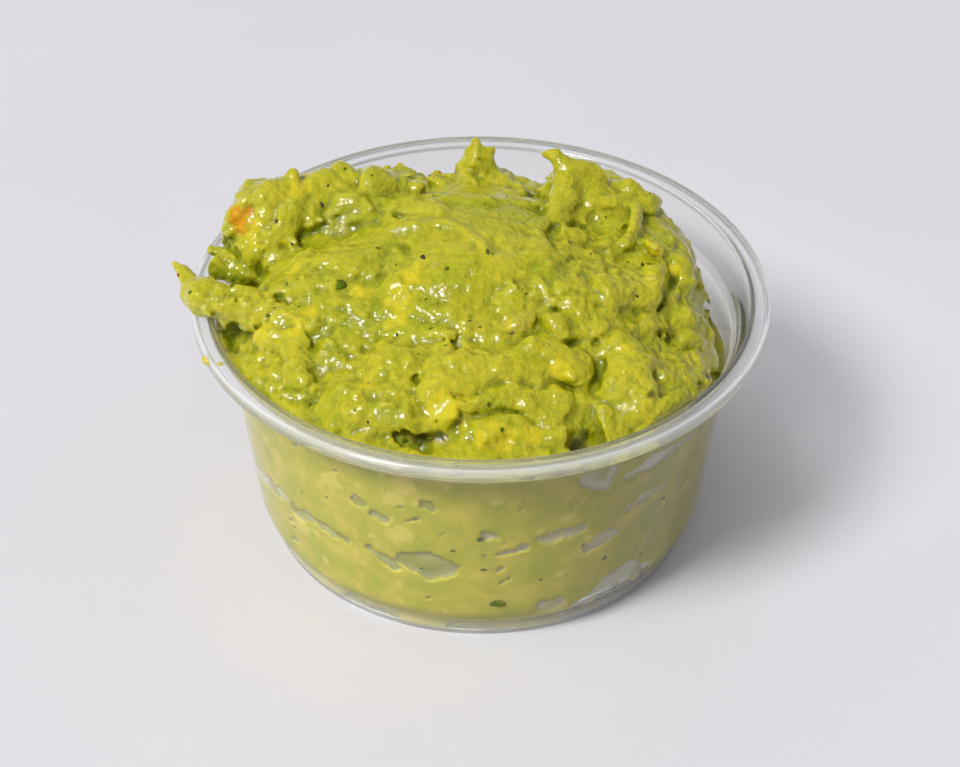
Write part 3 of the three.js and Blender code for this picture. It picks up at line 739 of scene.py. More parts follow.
def make_heap():
    """The heap's mesh, with how chunky, how creased and how open to the sky it is as attributes."""
    grid = Grid(GRID_LOW, GRID_HIGH, GRID_STEP)
    plain = heap_field(grid)
    near = np.abs(plain) < BAND
    points = np.stack([grid.x[near], grid.y[near], grid.z[near]], axis=1)
    height, _ = relief(points)
    value = plain.copy()
    value[near] -= height * smooth_step(BAND - np.abs(plain[near]), 0, 0.5)
    radius = np.hypot(grid.x, grid.y)
    angle = np.degrees(np.arctan2(grid.y, grid.x))
    low = filling_contact(angle) - PRESSED_OVER
    high = table_height(HEAP_CONTACT, angle) + PRESSED_OVER
    inset = np.where((grid.z > low) & (grid.z < high), -HEAP_BITE, HEAP_INSET)
    outside_cup = radius - inner_radius(grid.z) + inset
    over_lip = CUP_HEIGHT + LIP_CLEARANCE - grid.z
    value = np.maximum(value, np.minimum(outside_cup, over_lip))
    value = np.maximum(value, HEAP_FLOOR - grid.z)
    vertices, quads = surface_nets(value, grid)
    vertices, quads = largest_part(vertices, quads)
    normals = vertex_normals(vertices, quads)
    _, chunk = relief(vertices)
    crease = cavity(vertices, quads, normals, CREASE_ROUNDS)
    open_sky = openness(vertices, normals, grid, value, GAP_REACHES)
    vertices, quads, fan, used = plain_floor(vertices, quads, HEAP_FLOOR + 0.25 * GRID_STEP)
    attributes = [(label, np.append(values, 0.5)[used])
                  for label, values in (("chunk", chunk), ("crease", crease), ("open", open_sky))]
    return mesh_object("heap", vertices, [quads, fan], attributes)


# ---- the filling against the wall ----

FILL_COLUMNS = 720
FILL_ROWS = 84
FLOOR_POINTS = 8
MEAN_WALL = 31.0  # the radius at which the wall is unrolled
EDGE_WAVES = 9.0  # sets how many waves the ragged top edge has on its way round
POCKET_SPREAD = 0.3  # how much wider a pocket is than its spine
GAP_DEPTH = 0.48  # how far the filling stands back where air is trapped
BUBBLES = (1.9, 26, 0.10, 0.2, 0.38)  # the small round ones, as the low relief's bumps are given
BUBBLE_DEPTH = 0.55
STREAKS = 70
STREAK_RISE = 0.35  # millimetres up for each degree round

# The rings that shut the filling under the heap: (inward from its top edge, up)
SHUTTING_RINGS = [(0.25, 0.1), (0.8, 0.0), (1.8, -0.4), (3.5, -1.0), (7.0, -2.0), (14.0, -2.5), (22, -2.5)]

# Air trapped against the wall: spines of (angle from +X, height, half width) on the unrolled wall
POCKETS = [
    [(-160.6, 12.5, 0.5), (-153, 14.0, 0.9), (-145, 14.9, 0.8), (-138, 13.8, 0.4)],
    [(-135.6, 14.5, 0.4), (-129, 14.5, 0.7), (-123, 14.1, 0.4)],
    [(-117.6, 14.1, 0.3), (-113, 13.2, 0.6), (-110, 12.2, 0.3)],
    [(-107, 13.9, 1.2), (-102, 13.5, 2.2), (-97, 13.3, 1.0)],
    [(-118.5, 22.6, 0.4), (-117.5, 22.3, 0.4)],
    [(-113.4, 20.7, 0.6), (-112.3, 20.3, 0.6)],
    [(-101.6, 24.5, 0.6), (-100.4, 24.2, 0.6)],
    [(-88.6, 19.6, 0.4), (-87.4, 19.6, 0.4)],
    [(-67, 27.4, 0.9), (-63, 26.5, 1.6), (-60, 27.6, 1.0)],
    [(-55, 25.3, 0.3), (-50, 25.9, 1.0), (-44, 26.5, 1.7), (-38, 27.1, 2.0), (-32, 28.0, 2.2)],
    [(-54, 19.2, 0.3), (-49, 19.7, 0.5), (-44.5, 19.8, 0.3)],
    [(-76, 18.2, 0.3), (-71, 18.4, 0.9), (-66, 18.6, 0.3)],
    [(-64, 14.6, 0.5), (-60.5, 15.1, 1.1), (-57, 15.5, 0.5)],
    [(-89, 16.0, 0.15), (-84, 16.5, 0.3), (-80, 17.0, 0.15)],
    [(-74.5, 5.5, 0.7), (-70, 5.6, 0.7)],
    [(-64, 3.9, 0.8), (-57, 5.5, 2.0), (-52, 6.4, 2.3), (-46, 4.6, 2.0)],
    [(-66, 1.5, 1.4), (-54, 1.5, 1.8), (-41, 1.5, 1.4)],
    [(-128, 0.6, 0.8), (-114, 0.6, 0.8)],
    [(-96, 0.6, 0.8), (-82, 0.6, 0.8)],
]

# Short thin streaks of air all round
for _ in range(STREAKS):
    angle, height = RANDOM.uniform(-180, 180), RANDOM.uniform(6, 27)
    run = RANDOM.uniform(1, 4)
    POCKETS.append([(angle, height, -0.15), (angle + run, height + STREAK_RISE * run, -0.1)])


def bend(start, corner, end, shares):
    """Points at these shares of a quadratic bend from start to end, as the part's source has it."""
    start, corner, end = np.array(start), np.array(corner), np.array(end)
    return [tuple((1 - t) ** 2 * start + 2 * t * (1 - t) * corner + t * t * end) for t in shares]


def cup_inside():
    """Points (radius, height) up the inside of the cup from the middle of its floor to the shoulder's top."""
    foot_inside = FOOT_RADIUS - WALL
    floor = [(r, WALL) for r in np.linspace(0.4, FOOT_RADIUS - 2.5 * WALL, FLOOR_POINTS)]
    corner = [(foot_inside - WALL * (1 - math.sin(t)), WALL + WALL * (1 - math.cos(t)))
              for t in np.linspace(0.2, math.pi / 2, 4)]
    foot = [(foot_inside, z) for z in np.linspace(2.4 * WALL, FOOT_HEIGHT + 0.4 * WALL, 7)]
    low = (foot_inside, FOOT_HEIGHT + WALL)
    middle = (wall_radius(FOOT_HEIGHT) - WALL, FOOT_HEIGHT + WALL)
    high = (wall_radius(SHOULDER_HEIGHT) - WALL, SHOULDER_HEIGHT)
    return floor + corner + foot + bend(low, middle, high, np.linspace(0.02, 1, 12))


def pocket_field(degrees, heights):
    """Below zero over trapped air, in millimetres on the unrolled wall."""
    s = np.radians(degrees) * MEAN_WALL
    nearest = np.full(s.shape, 1e3)
    for spine in POCKETS:
        for (a0, z0, w0), (a1, z1, w1) in zip(spine[:-1], spine[1:]):
            s0, s1 = math.radians(a0) * MEAN_WALL, math.radians(a1) * MEAN_WALL
            ds, dz = s1 - s0, z1 - z0
            t = np.clip(((s - s0) * ds + (heights - z0) * dz) / (ds * ds + dz * dz), 0, 1)
            away = np.hypot(s - s0 - t * ds, heights - z0 - t * dz) - (w0 + t * (w1 - w0))
            nearest = np.minimum(nearest, away)
    return nearest


def filling_rows():
    """The angles round the filling in degrees, and the radius and height of each row up its outside."""
    angles = -180 + 360 * np.arange(FILL_COLUMNS) / FILL_COLUMNS
    ring = np.radians(angles)
    edge = np.stack([np.cos(ring), np.sin(ring), np.zeros_like(ring)], axis=1) * EDGE_WAVES
    ragged = filling_contact(angles) + 0.7 * noise(edge, 2.2, 21) + 0.4 * noise(edge, 0.8, 22)
    rows = [(np.full(FILL_COLUMNS, radius), np.full(FILL_COLUMNS, height)) for radius, height in cup_inside()]
    for row in range(1, FILL_ROWS + 1):
        height = SHOULDER_HEIGHT + (ragged - SHOULDER_HEIGHT) * row / FILL_ROWS
        rows.append((inner_radius(height), height))
    radius, height = (np.array(column) for column in zip(*rows))
    return angles, radius, height


def trapped_air(degrees, radius, height):
    """How much air there is over each point of the filling, and how far the filling stands back there."""
    turn = np.radians(degrees)
    points = np.stack([radius * np.cos(turn), radius * np.sin(turn), height], -1).reshape(-1, 3)
    wobble = 0.5 * noise(points, 2.2, 23) + 0.35 * noise(points, 0.8, 24)
    away = pocket_field(degrees, height) - POCKET_SPREAD + wobble.reshape(height.shape)
    air = smooth_step(-away, -0.05, 0.2)
    back = GAP_DEPTH * air * (0.8 + 0.5 * noise(points, 3.0, 25).reshape(height.shape))
    bubble = smooth_step(bumps(points, *BUBBLES).reshape(height.shape), 0.25, 0.6)
    back = np.where(air < 0.05, np.maximum(back, BUBBLE_DEPTH * bubble), back)
    return air, back


def make_filling():
    """The filling behind the wall: it reaches into the plastic, and is shut under the heap."""
    angles, radius, height = filling_rows()
    air, back = trapped_air(np.tile(angles, (len(radius), 1)), radius, height)
    on_floor = np.arange(len(radius)) < FLOOR_POINTS
    drawn = radius + WALL_BITE - back
    drawn[on_floor] = radius[on_floor]
    height = height - np.where(on_floor, WALL_BITE, 0)[:, None]
    inward, up = (np.array(column)[:, None] for column in zip(*SHUTTING_RINGS))
    drawn = np.concatenate([drawn, drawn[-1] - inward])
    height = np.concatenate([height, height[-1] + up])
    air = np.concatenate([air, np.zeros((len(inward), FILL_COLUMNS))])
    return turned("filling", drawn, height, np.radians(angles), "air", air)


# ---- the cup ----

CUP_COLUMNS = 360
HELD = 0.3  # points this close to a corner keep it crisp
FINE_HELD = 0.25


def cup_section():
    """Half section of the shell: up the outside, over the lip, and down the inside."""
    flange = CUP_HEIGHT - WALL
    edge = CUP_HEIGHT - LIP_DROP
    lip_edge = RIM_RADIUS - WALL
    ledge_radius = WALL_TOP_RADIUS + LEDGE_WIDTH
    low_wall, foot_inside = wall_radius(SHOULDER_HEIGHT), FOOT_RADIUS - WALL

    def curve(start, corner, end, count):
        """A bend drawn with this many points."""
        return bend(start, corner, end, np.linspace(0, 1, count))

    outside = curve((foot_inside, 0), (FOOT_RADIUS, 0), (FOOT_RADIUS, WALL), 5)
    outside += curve((FOOT_RADIUS, FOOT_HEIGHT), (wall_radius(FOOT_HEIGHT), FOOT_HEIGHT),
                     (low_wall, SHOULDER_HEIGHT), 14)
    outside += [(wall_radius(z), z) for z in np.linspace(SHOULDER_HEIGHT + 2, LEDGE_HEIGHT - WALL - HELD, 10)]
    outside += [(WALL_TOP_RADIUS, LEDGE_HEIGHT - WALL), (ledge_radius, LEDGE_HEIGHT),
                (ledge_radius + 0.1, LEDGE_HEIGHT + HELD)]
    under_lip = curve((MOUTH_RADIUS + WALL, flange - (LIP_BEND - WALL)), (MOUTH_RADIUS + WALL, flange),
                      (MOUTH_RADIUS + LIP_BEND, flange), 6)
    under_lip += [(lip_edge - FINE_HELD, flange), (lip_edge, flange - FINE_HELD)]
    under_lip += curve((lip_edge, edge + WALL / 2), (RIM_RADIUS - WALL / 2, edge - WALL / 2),
                       (RIM_RADIUS, edge + WALL / 2), 6)
    lip = curve((RIM_RADIUS, CUP_HEIGHT - EDGE_BEND), (RIM_RADIUS, CUP_HEIGHT),
                (RIM_RADIUS - EDGE_BEND, CUP_HEIGHT), 9)
    lip += [(r, CUP_HEIGHT)
            for r in np.linspace(RIM_RADIUS - EDGE_BEND - 0.2, MOUTH_RADIUS + EDGE_BEND + 0.2, 5)]
    lip += curve((MOUTH_RADIUS + EDGE_BEND, CUP_HEIGHT), (MOUTH_RADIUS, CUP_HEIGHT),
                 (MOUTH_RADIUS, CUP_HEIGHT - EDGE_BEND), 9)
    inside = [(MOUTH_RADIUS, CUP_HEIGHT - LIP_BEND), (ledge_radius - WALL, LEDGE_HEIGHT + LEDGE_RISE),
              (WALL_TOP_RADIUS - WALL, LEDGE_HEIGHT)]
    inside += [(wall_radius(z) - WALL, z) for z in np.linspace(LEDGE_HEIGHT - HELD, SHOULDER_HEIGHT + 2, 10)]
    inside += curve((low_wall - WALL, SHOULDER_HEIGHT), (wall_radius(FOOT_HEIGHT) - WALL, FOOT_HEIGHT + WALL),
                    (foot_inside, FOOT_HEIGHT + WALL), 12)
    inside += curve((foot_inside, 2 * WALL), (foot_inside, WALL), (foot_inside - WALL, WALL), 5)
    return np.array(outside + under_lip + lip + inside)


# How milky the plastic is on the lip's top, by distance from the cup's axis, and elsewhere; the milky white
# on the lip's outer bend and at the foot is a painted highlight line
LIP_MILK_AND_HIGHLIGHT = [(34.4, 0.2), (34.7, 0.15), (35, 0.1), (36.3, 0.11), (36.5, 0.2), (36.7, 0.55), (37, 0.4)]
SIDE_MILK = 0.1
LEDGE_MILK = 0.35
WALL_MILK = 0.01
FOOT_HIGHLIGHT = 0.35


def milk_and_highlights(radius, height):
    """How milky the plastic is: hardly in the wall, a little on the lip, most where it is bent sharply; there
    and at the foot its white is a painted highlight line.
    """
    top = height > CUP_HEIGHT - 1.2 * EDGE_BEND
    side = ~top & (radius > RIM_RADIUS - 0.01)
    ledge = (np.abs(height - LEDGE_HEIGHT) < 0.05) & (radius < WALL_TOP_RADIUS + LEDGE_WIDTH)
    foot = height < WALL + 0.1
    on_lip = np.interp(radius, *zip(*LIP_MILK_AND_HIGHLIGHT))
    return np.select([top, side, ledge, foot], [on_lip, SIDE_MILK, LEDGE_MILK, FOOT_HIGHLIGHT], WALL_MILK)


def make_cup():
    """The clear cup, finer than the solid and with how milky it is at each point, that milky white partly a
    painted highlight.
    """
    ring = 2 * math.pi * np.arange(CUP_COLUMNS) / CUP_COLUMNS
    radius, height = (np.tile(column[:, None], (1, CUP_COLUMNS)) for column in cup_section().T)
    return turned("clear_cup", radius, height, ring, "milk", milk_and_highlights(radius, height))


# ---- materials ----

def material(name, **constants):
    """A Principled material with these constants on its own sockets, and the tree to add to."""
    made = bpy.data.materials.new(name)
    made.use_nodes = True
    tree = made.node_tree
    shader = next(n for n in tree.nodes if n.type == "BSDF_PRINCIPLED")
    for label, value in constants.items():
        shader.inputs[label.replace("_", " ")].default_value = value
    return made, tree, shader


def node(tree, kind, **values):
    """A new node with these values, of its own properties or its inputs."""
    made = tree.nodes.new(kind)
    for label, value in values.items():
        if hasattr(made, label):
            setattr(made, label, value)
        else:
            made.inputs[label.replace("_", " ")].default_value = value
    return made


def attribute(tree, label):
    """A float attribute of the mesh."""
    return node(tree, "ShaderNodeAttribute", attribute_name=label).outputs["Fac"]


def own_place(tree):
    """The object's own coordinates, in metres."""
    return node(tree, "ShaderNodeTexCoord").outputs["Object"]


def own_axis(tree, axis):
    """One of the object's own coordinates, in metres."""
    apart = node(tree, "ShaderNodeSeparateXYZ")
    tree.links.new(own_place(tree), apart.inputs[0])
    return apart.outputs[axis]


def grain(tree, size, detail=2.0, rough=0.5):
    """Noise whose features are about size millimetres across."""
    made = node(tree, "ShaderNodeTexNoise", Scale=1 / (size * MM), Detail=detail, Roughness=rough)
    tree.links.new(own_place(tree), made.inputs["Vector"])
    return made.outputs["Fac"]


def pebbles(tree, size):
    """Round grains about size millimetres across, highest in their middles."""
    made = node(tree, "ShaderNodeTexVoronoi", feature="SMOOTH_F1", Scale=1 / (size * MM), Smoothness=0.6)
    tree.links.new(own_place(tree), made.inputs["Vector"])
    return ranged(tree, made.outputs["Distance"], 0.8, 0.0)


def ramp(tree, source, stops):
    """A colour for each value of the source, between stops of (value, colour)."""
    made = node(tree, "ShaderNodeValToRGB")
    band = made.color_ramp
    first, last = band.elements
    first.position, last.position = stops[0][0], stops[-1][0]
    first.color, last.color = (*stops[0][1], 1), (*stops[-1][1], 1)
    for value, colour in stops[1:-1]:
        band.elements.new(value).color = (*colour, 1)
    tree.links.new(source, made.inputs["Fac"])
    return made.outputs["Color"]


MIX_SHARE, MIX_UNDER, MIX_OVER, MIX_RESULT = 0, 6, 7, 2  # the Mix node's sockets for colours


def mixed(tree, share, under, over):
    """One colour over another; each is a socket or a plain colour."""
    made = node(tree, "ShaderNodeMix", data_type="RGBA")
    tree.links.new(share, made.inputs[MIX_SHARE])
    for number, colour in ((MIX_UNDER, under), (MIX_OVER, over)):
        if isinstance(colour, bpy.types.NodeSocket):
            tree.links.new(colour, made.inputs[number])
        else:
            made.inputs[number].default_value = (*colour, 1)
    return made.outputs[MIX_RESULT]


def ranged(tree, source, low, high, to_low=0.0, to_high=1.0):
    """The source, low to high, brought to another range and held to it."""
    made = node(tree, "ShaderNodeMapRange", From_Min=low, From_Max=high, To_Min=to_low, To_Max=to_high)
    tree.links.new(source, made.inputs["Value"])
    return made.outputs["Result"]


def layered(tree, colour, layers):
    """The colour under layers of (source, its value at no share, at the full share, the full share, tint)."""
    for source, none, full, share, tint in layers:
        colour = mixed(tree, ranged(tree, source, none, full, 0, share), colour, tint)
    return colour


def bump_chain(tree, heights):
    """A chain of bumps of (source, strength, millimetres high)."""
    last = None
    for source, strength, depth in heights:
        made = node(tree, "ShaderNodeBump", Strength=strength, Distance=depth * MM)
        tree.links.new(source, made.inputs["Height"])
        if last is not None:
            tree.links.new(last, made.inputs["Normal"])
        last = made.outputs["Normal"]
    return last


def bumped(tree, shader, heights, coat_heights=None):
    """Bumps on the shader's normal, and the same or other ones on its coat's."""
    normal = bump_chain(tree, heights)
    coat_normal = bump_chain(tree, coat_heights) if coat_heights else normal
    tree.links.new(normal, shader.inputs["Normal"])
    tree.links.new(coat_normal, shader.inputs["Coat Normal"])


FLESH = (0.51, 0.475, 0.006)
FLESH_YELLOW = (0.60, 0.54, 0.022)
FLESH_PALE = (0.74, 0.67, 0.10)
FLESH_MID = (0.43, 0.435, 0.008)
FLESH_GREEN = (0.27, 0.34, 0.006)
# Painted shade, for creases and gaps
FLESH_PAINTED_SHADE = (0.14, 0.175, 0.002)
# Yellow bits; on the low front lobe also painted light
TINT_YELLOW_AND_LIT = (0.74, 0.62, 0.014)
TINT_ORANGE = (0.72, 0.33, 0.0)
TINT_TAN = (0.50, 0.42, 0.07)
# Painted shade, for cracks and hollows
PAINTED_SHADE_TINT = (0.07, 0.075, 0.002)
WALL_PLAIN = (0.575, 0.54, 0.045)
WALL_PALE = (0.72, 0.62, 0.10)
WALL_GREEN = (0.48, 0.505, 0.028)
# Painted shade and painted reflection behind trapped air; the lit one is painted light and reflection
WALL_AIR_SHADE_AND_SHEEN = (0.36, 0.365, 0.12)
WALL_AIR_LIT = (0.60, 0.56, 0.38)
WALL_CHUNK = (0.84, 0.73, 0.20)


def guacamole_material():
    """Wet mash: yellow-green flesh, paler lumps and green specks under a clear wet coat, with painted shade
    in creases, gaps and cracks and painted light on rounded tops and the low front lobe.
    """
    made, tree, shader = material(
        "guacamole", Roughness=0.4, IOR=1.4, Specular_IOR_Level=0.1, Subsurface_Weight=1.0,
        Subsurface_Scale=0.0004, Subsurface_Radius=(1.0, 0.95, 0.22), Coat_Roughness=0.04, Coat_IOR=1.42)
    patches = ramp(tree, grain(tree, 9, 3), [(0.36, FLESH_MID), (0.5, FLESH), (0.66, FLESH_YELLOW)])
    colour = layered(tree, patches, [
        (attribute(tree, "chunk"), 0.1, 0.7, 0.6, FLESH_YELLOW),
        (grain(tree, 0.9, 3, 0.6), 0.42, 0.68, 0.5, FLESH_GREEN),
        (grain(tree, 0.45), 0.56, 0.7, 0.45, FLESH_PALE),
        # Yellower on rounded tops: partly the flesh's paler tone, partly painted light. Darker green in
        # creases and in gaps shut from the sky: painted shade.
        (attribute(tree, "crease"), -0.02, -0.28, 0.4, FLESH_YELLOW),
        (attribute(tree, "crease"), 0.02, 0.34, 0.7, FLESH_PAINTED_SHADE),
        (attribute(tree, "open"), 0.5, 0.05, 0.8, FLESH_PAINTED_SHADE),
        # Yellow bits, and painted light on the low front lobe
        (attribute(tree, "yellow"), 0, 1, 0.75, TINT_YELLOW_AND_LIT),
        (attribute(tree, "tan"), 0, 1, 0.5, TINT_TAN),
        (attribute(tree, "orange"), 0.1, 0.9, 0.9, TINT_ORANGE),
        # Painted shade in cracks and hollows at the listed spots
        (attribute(tree, "deep"), 0.1, 1, 0.85, PAINTED_SHADE_TINT),
    ])
    tree.links.new(colour, shader.inputs["Base Color"])
    # The coat is thinner in gaps shut from the sky: painted shade on its reflection.
    tree.links.new(ranged(tree, attribute(tree, "open"), 0.1, 0.5, 0.1, 1.0), shader.inputs["Coat Weight"])
    flesh = [
        (grain(tree, 1.6, 3, 0.6), 0.8, 0.4),
        (pebbles(tree, 0.8), 0.7, 0.25),
        (grain(tree, 0.4), 0.5, 0.1),
    ]
    wet = [
        (grain(tree, 1.5, 1), 0.5, 0.3),
        (grain(tree, 0.7, 1.5), 0.8, 0.2),
        (grain(tree, 0.3, 1), 0.6, 0.05),
    ]
    bumped(tree, shader, flesh, wet)
    return made


def filling_material():
    """The mash behind the wall, with painted shade and painted grey reflection where air is trapped, and
    painted light and reflection, paler towards the right and at the far left.
    """
    made, tree, shader = material(
        "guacamole_at_wall", Roughness=0.4, IOR=1.4, Subsurface_Weight=1.0, Subsurface_Scale=0.0011,
        Subsurface_Radius=(1.0, 0.95, 0.25), Coat_Weight=0.2, Coat_Roughness=0.2)
    across = own_axis(tree, "X")
    # Painted shade and reflection behind trapped air, with painted light and reflection towards the right and
    # at the far left
    air = layered(tree, WALL_AIR_SHADE_AND_SHEEN, [
        (across, -6 * MM, 6 * MM, 1, WALL_AIR_LIT),
        (across, -23 * MM, -28 * MM, 1, WALL_AIR_LIT),
        (grain(tree, 1.2, 3, 0.6), 0.4, 0.65, 0.35, WALL_PLAIN),
    ])
    patches = ramp(tree, grain(tree, 4, 4, 0.6), [(0.32, WALL_GREEN), (0.5, WALL_PLAIN), (0.68, WALL_PALE)])
    colour = layered(tree, patches, [
        (grain(tree, 1.8, 3, 0.6), 0.5, 0.7, 0.35, WALL_PALE),
        (attribute(tree, "pale"), 0, 1, 0.55, WALL_CHUNK),
        # A little paler at the edge of each pocket
        (attribute(tree, "air"), 0, 0.25, 0.12, WALL_CHUNK),
        (attribute(tree, "air"), 0.3, 0.6, 0.9, air),
    ])
    tree.links.new(colour, shader.inputs["Base Color"])
    bumped(tree, shader, [(grain(tree, 1.5, 3, 0.6), 0.3, 0.2)])
    return made


# The share of a lamp's light that passes each face of the plastic, below the ledge and in the lip above it
WALL_CLEARNESS = 0.86
LIP_CLEARNESS = 0.5


def plastic_material():
    """Clear plastic that passes most of the lamps' light, milky where the attribute says so; that milky white
    is partly painted highlight on the lip's bend and the foot.
    """
    made, tree, shader = material(
        "clear_plastic", Base_Color=(0.97, 0.98, 0.975, 1), Roughness=0.05, IOR=1.5)
    bumped(tree, shader, [(grain(tree, 9, 2), 0.15, 0.1)])
    # Milky white where the attribute says so, partly a painted highlight line
    tree.links.new(ranged(tree, attribute(tree, "milk"), 0, 1, 1, 0), shader.inputs["Transmission Weight"])
    clear = node(tree, "ShaderNodeBsdfTransparent")
    ledge = (LEDGE_HEIGHT * MM, (LEDGE_HEIGHT + 1) * MM)
    passing = ranged(tree, own_axis(tree, "Z"), *ledge, WALL_CLEARNESS, LIP_CLEARNESS)
    tree.links.new(passing, clear.inputs["Color"])
    rays = node(tree, "ShaderNodeLightPath")
    either = node(tree, "ShaderNodeMixShader")
    output = next(n for n in tree.nodes if n.type == "OUTPUT_MATERIAL")
    tree.links.new(rays.outputs["Is Shadow Ray"], either.inputs[0])
    tree.links.new(shader.outputs["BSDF"], either.inputs[1])
    tree.links.new(clear.outputs["BSDF"], either.inputs[2])
    tree.links.new(either.outputs["Shader"], output.inputs["Surface"])
    return made


FLOOR_DARKER = (0.775, 0.755, 0.80)
FLOOR_LIGHTER = (0.80, 0.785, 0.825)


def floor_material():
    """A pale floor with hardly any pattern."""
    made, tree, shader = material("pale_floor", Roughness=0.55)
    tone = ramp(tree, grain(tree, 60, 4), [(0.3, FLOOR_DARKER), (0.7, FLOOR_LIGHTER)])
    tree.links.new(tone, shader.inputs["Base Color"])
    return made


# ---- camera, light and floor ----

def add_camera():
    """The camera that the photograph was taken with, as fitted to the cup's rim, ledge and foot."""
    camera = bpy.data.objects.new("camera", bpy.data.cameras.new("camera"))
    camera.data.lens = LENS
    camera.data.sensor_width = SENSOR
    camera.data.sensor_fit = "HORIZONTAL"
    camera.data.clip_start = 0.01
    back = Vector((0, -math.cos(VIEW_ELEVATION), math.sin(VIEW_ELEVATION)))
    up = Vector((0, math.sin(VIEW_ELEVATION), math.cos(VIEW_ELEVATION)))
    axes = Matrix((Vector((1, 0, 0)), up, back)).transposed()
    turn = axes.to_4x4() @ Matrix.Rotation(-VIEW_ROLL, 4, "Z")
    camera.matrix_world = Matrix.Translation((VIEW_TARGET + back * VIEW_DISTANCE) * MM) @ turn
    bpy.context.scene.collection.objects.link(camera)
    bpy.context.scene.camera = camera
    return camera


# The key lamp's distance and side in metres, and its power in watts
KEY_DIRECTION = Vector((-0.45, -0.44, 0.777))
KEY_DISTANCE = 3.0
KEY_SIZE = 0.85
KEY_POWER = 70
SKY_COLOUR = (0.97, 0.96, 1.0, 1)
SKY_STRENGTH = 0.385


def add_light():
    """One big soft lamp from the upper left, and an even pale sky."""
    lamp = bpy.data.lights.new("key", "AREA")
    lamp.shape = "SQUARE"
    lamp.size = KEY_SIZE
    lamp.energy = KEY_POWER
    key = bpy.data.objects.new("key", lamp)
    key.location = KEY_DIRECTION.normalized() * KEY_DISTANCE
    key.rotation_euler = KEY_DIRECTION.to_track_quat("Z", "Y").to_euler()
    bpy.context.scene.collection.objects.link(key)
    world = bpy.data.worlds.new("studio")
    world.use_nodes = True
    sky = world.node_tree.nodes["Background"]
    sky.inputs["Color"].default_value = SKY_COLOUR
    sky.inputs["Strength"].default_value = SKY_STRENGTH
    bpy.context.scene.world = world


FLOOR_HALF = 1500
FLOOR_TOP = -0.1


def add_floor():
    """A plain floor a hair under the cup."""
    corners = [(x * FLOOR_HALF, y * FLOOR_HALF, FLOOR_TOP) for x, y in ((-1, -1), (1, -1), (1, 1), (-1, 1))]
    floor = mesh_object("floor", corners, [[(0, 1, 2, 3)]])
    floor.data.materials.append(floor_material())


# ---- small bits in the mash, placed where the photograph shows them ----

# On the heap and the lip, as (pixel across, pixel down, size in millimetres)
PEPPER_SPOTS = [
    (322, 205, 0.75), (277, 221, 0.7), (423, 257, 1.1), (397, 335, 0.45), (480, 327, 0.4), (512, 333, 0.5),
    (368, 422, 0.4), (642, 264, 0.5), (606, 217, 0.35)]
HERB_SPOTS = [
    (340, 286, 1.5), (409, 177, 0.5), (310, 405, 0.8), (233, 280, 0.7), (190, 292, 0.6), (488, 252, 0.8),
    (650, 264, 0.8), (405, 441, 0.9), (420, 443, 1.1), (431, 439, 0.8), (372, 175, 0.4), (489, 405, 0.7),
    (446, 345, 0.4), (502, 430, 0.7), (355, 410, 0.4), (628, 262, 0.4), (560, 300, 0.35)]
CHILI_SPOTS = [(226, 240, 0.5), (178, 275, 0.6), (512, 334, 0.4), (440, 172, 0.5)]
PALE_SPOTS = [
    (652, 278, 1.5), (545, 417, 0.8), (555, 411, 0.7), (470, 262, 0.6), (655, 247, 1.0), (617, 345, 0.6),
    (355, 268, 0.7)]
ORANGE_SPOTS = [(237, 216, 1.5), (242, 222, 1.5), (240, 230, 1.1), (247, 213, 1.0)]
DROP_SPOTS = [(205, 360, 1.3), (208, 362, 1.0), (220, 364, 0.8)]
# Yellow bits; the last three light up the low front lobe as painted light in place of its highlights
YELLOW_AND_LIT_PATCHES = [
    (446, 405, 2.6), (438, 412, 1.8), (390, 165, 2.0), (250, 232, 2.2), (300, 185, 1.8), (258, 335, 2.0),
    (652, 278, 1.4), (398, 300, 2.2), (560, 370, 1.6), (655, 248, 1.3), (335, 162, 1.8), (500, 437, 2.2),
    (532, 432, 1.8), (478, 440, 1.4)]
TAN_PATCHES = [
    (522, 322, 1.7), (662, 208, 2.0), (668, 222, 1.3), (640, 225, 1.0), (505, 326, 0.8), (512, 333, 0.8)]
# Painted shade: dark spots in cracks and hollows, where shade falls
PAINTED_SHADE_PATCHES = [
    (584, 436, 1.0), (580, 444, 1.3), (574, 450, 1.0), (416, 438, 1.0), (428, 436, 1.0), (440, 436, 0.9),
    (707, 378, 1.0), (652, 395, 0.8)]

# Behind the wall, as (angle from +X, height, size)
WALL_GREEN_BITS = [
    (-90, 19.1, 0.9), (-85.5, 7.3, 1.9), (-89, 13.6, 0.8), (-59, 11.6, 0.8), (-47, 8.7, 0.6),
    (-42, 17.1, 0.7), (-127, 20.5, 0.6), (-96, 16.9, 0.6)]
WALL_PALE_BITS = [
    (-125, 24, 1.8), (-107, 27.3, 2.2), (-109, 24.5, 1.7), (-108, 18.4, 2.0), (-64, 16, 1.6),
    (-138, 11.7, 1.9)]

STREWN_HALF = 30  # strewn bits are drawn in a square of this half width
STREWN_RADIUS = 29  # and kept if they lie this near the middle
OVER_ALL = 60  # a height above everything
PALE_COUNT = 110  # drawn all round behind the wall, besides those in the lists
GREEN_COUNT = 24


def cast(piece, start, aim):
    """Where a ray in metres meets a piece, in millimetres, and which way the piece's surface faces there."""
    hit, place, out, _ = piece.ray_cast(start, aim)
    return (np.array(place) / MM, Vector(out)) if hit else None


def seen_at(piece, across, down):
    """The same for the sight line through a pixel of the photograph."""
    spread = SENSOR / LENS / PHOTO_WIDTH
    aim = Vector(((across - PHOTO_WIDTH / 2) * spread, (PHOTO_HEIGHT / 2 - down) * spread, -1))
    return cast(piece, camera.matrix_world.translation, camera.matrix_world.to_3x3() @ aim)


def above(piece, x, y):
    """The same straight down from above."""
    return cast(piece, Vector((x, y, OVER_ALL)) * MM, Vector((0, 0, -1)))


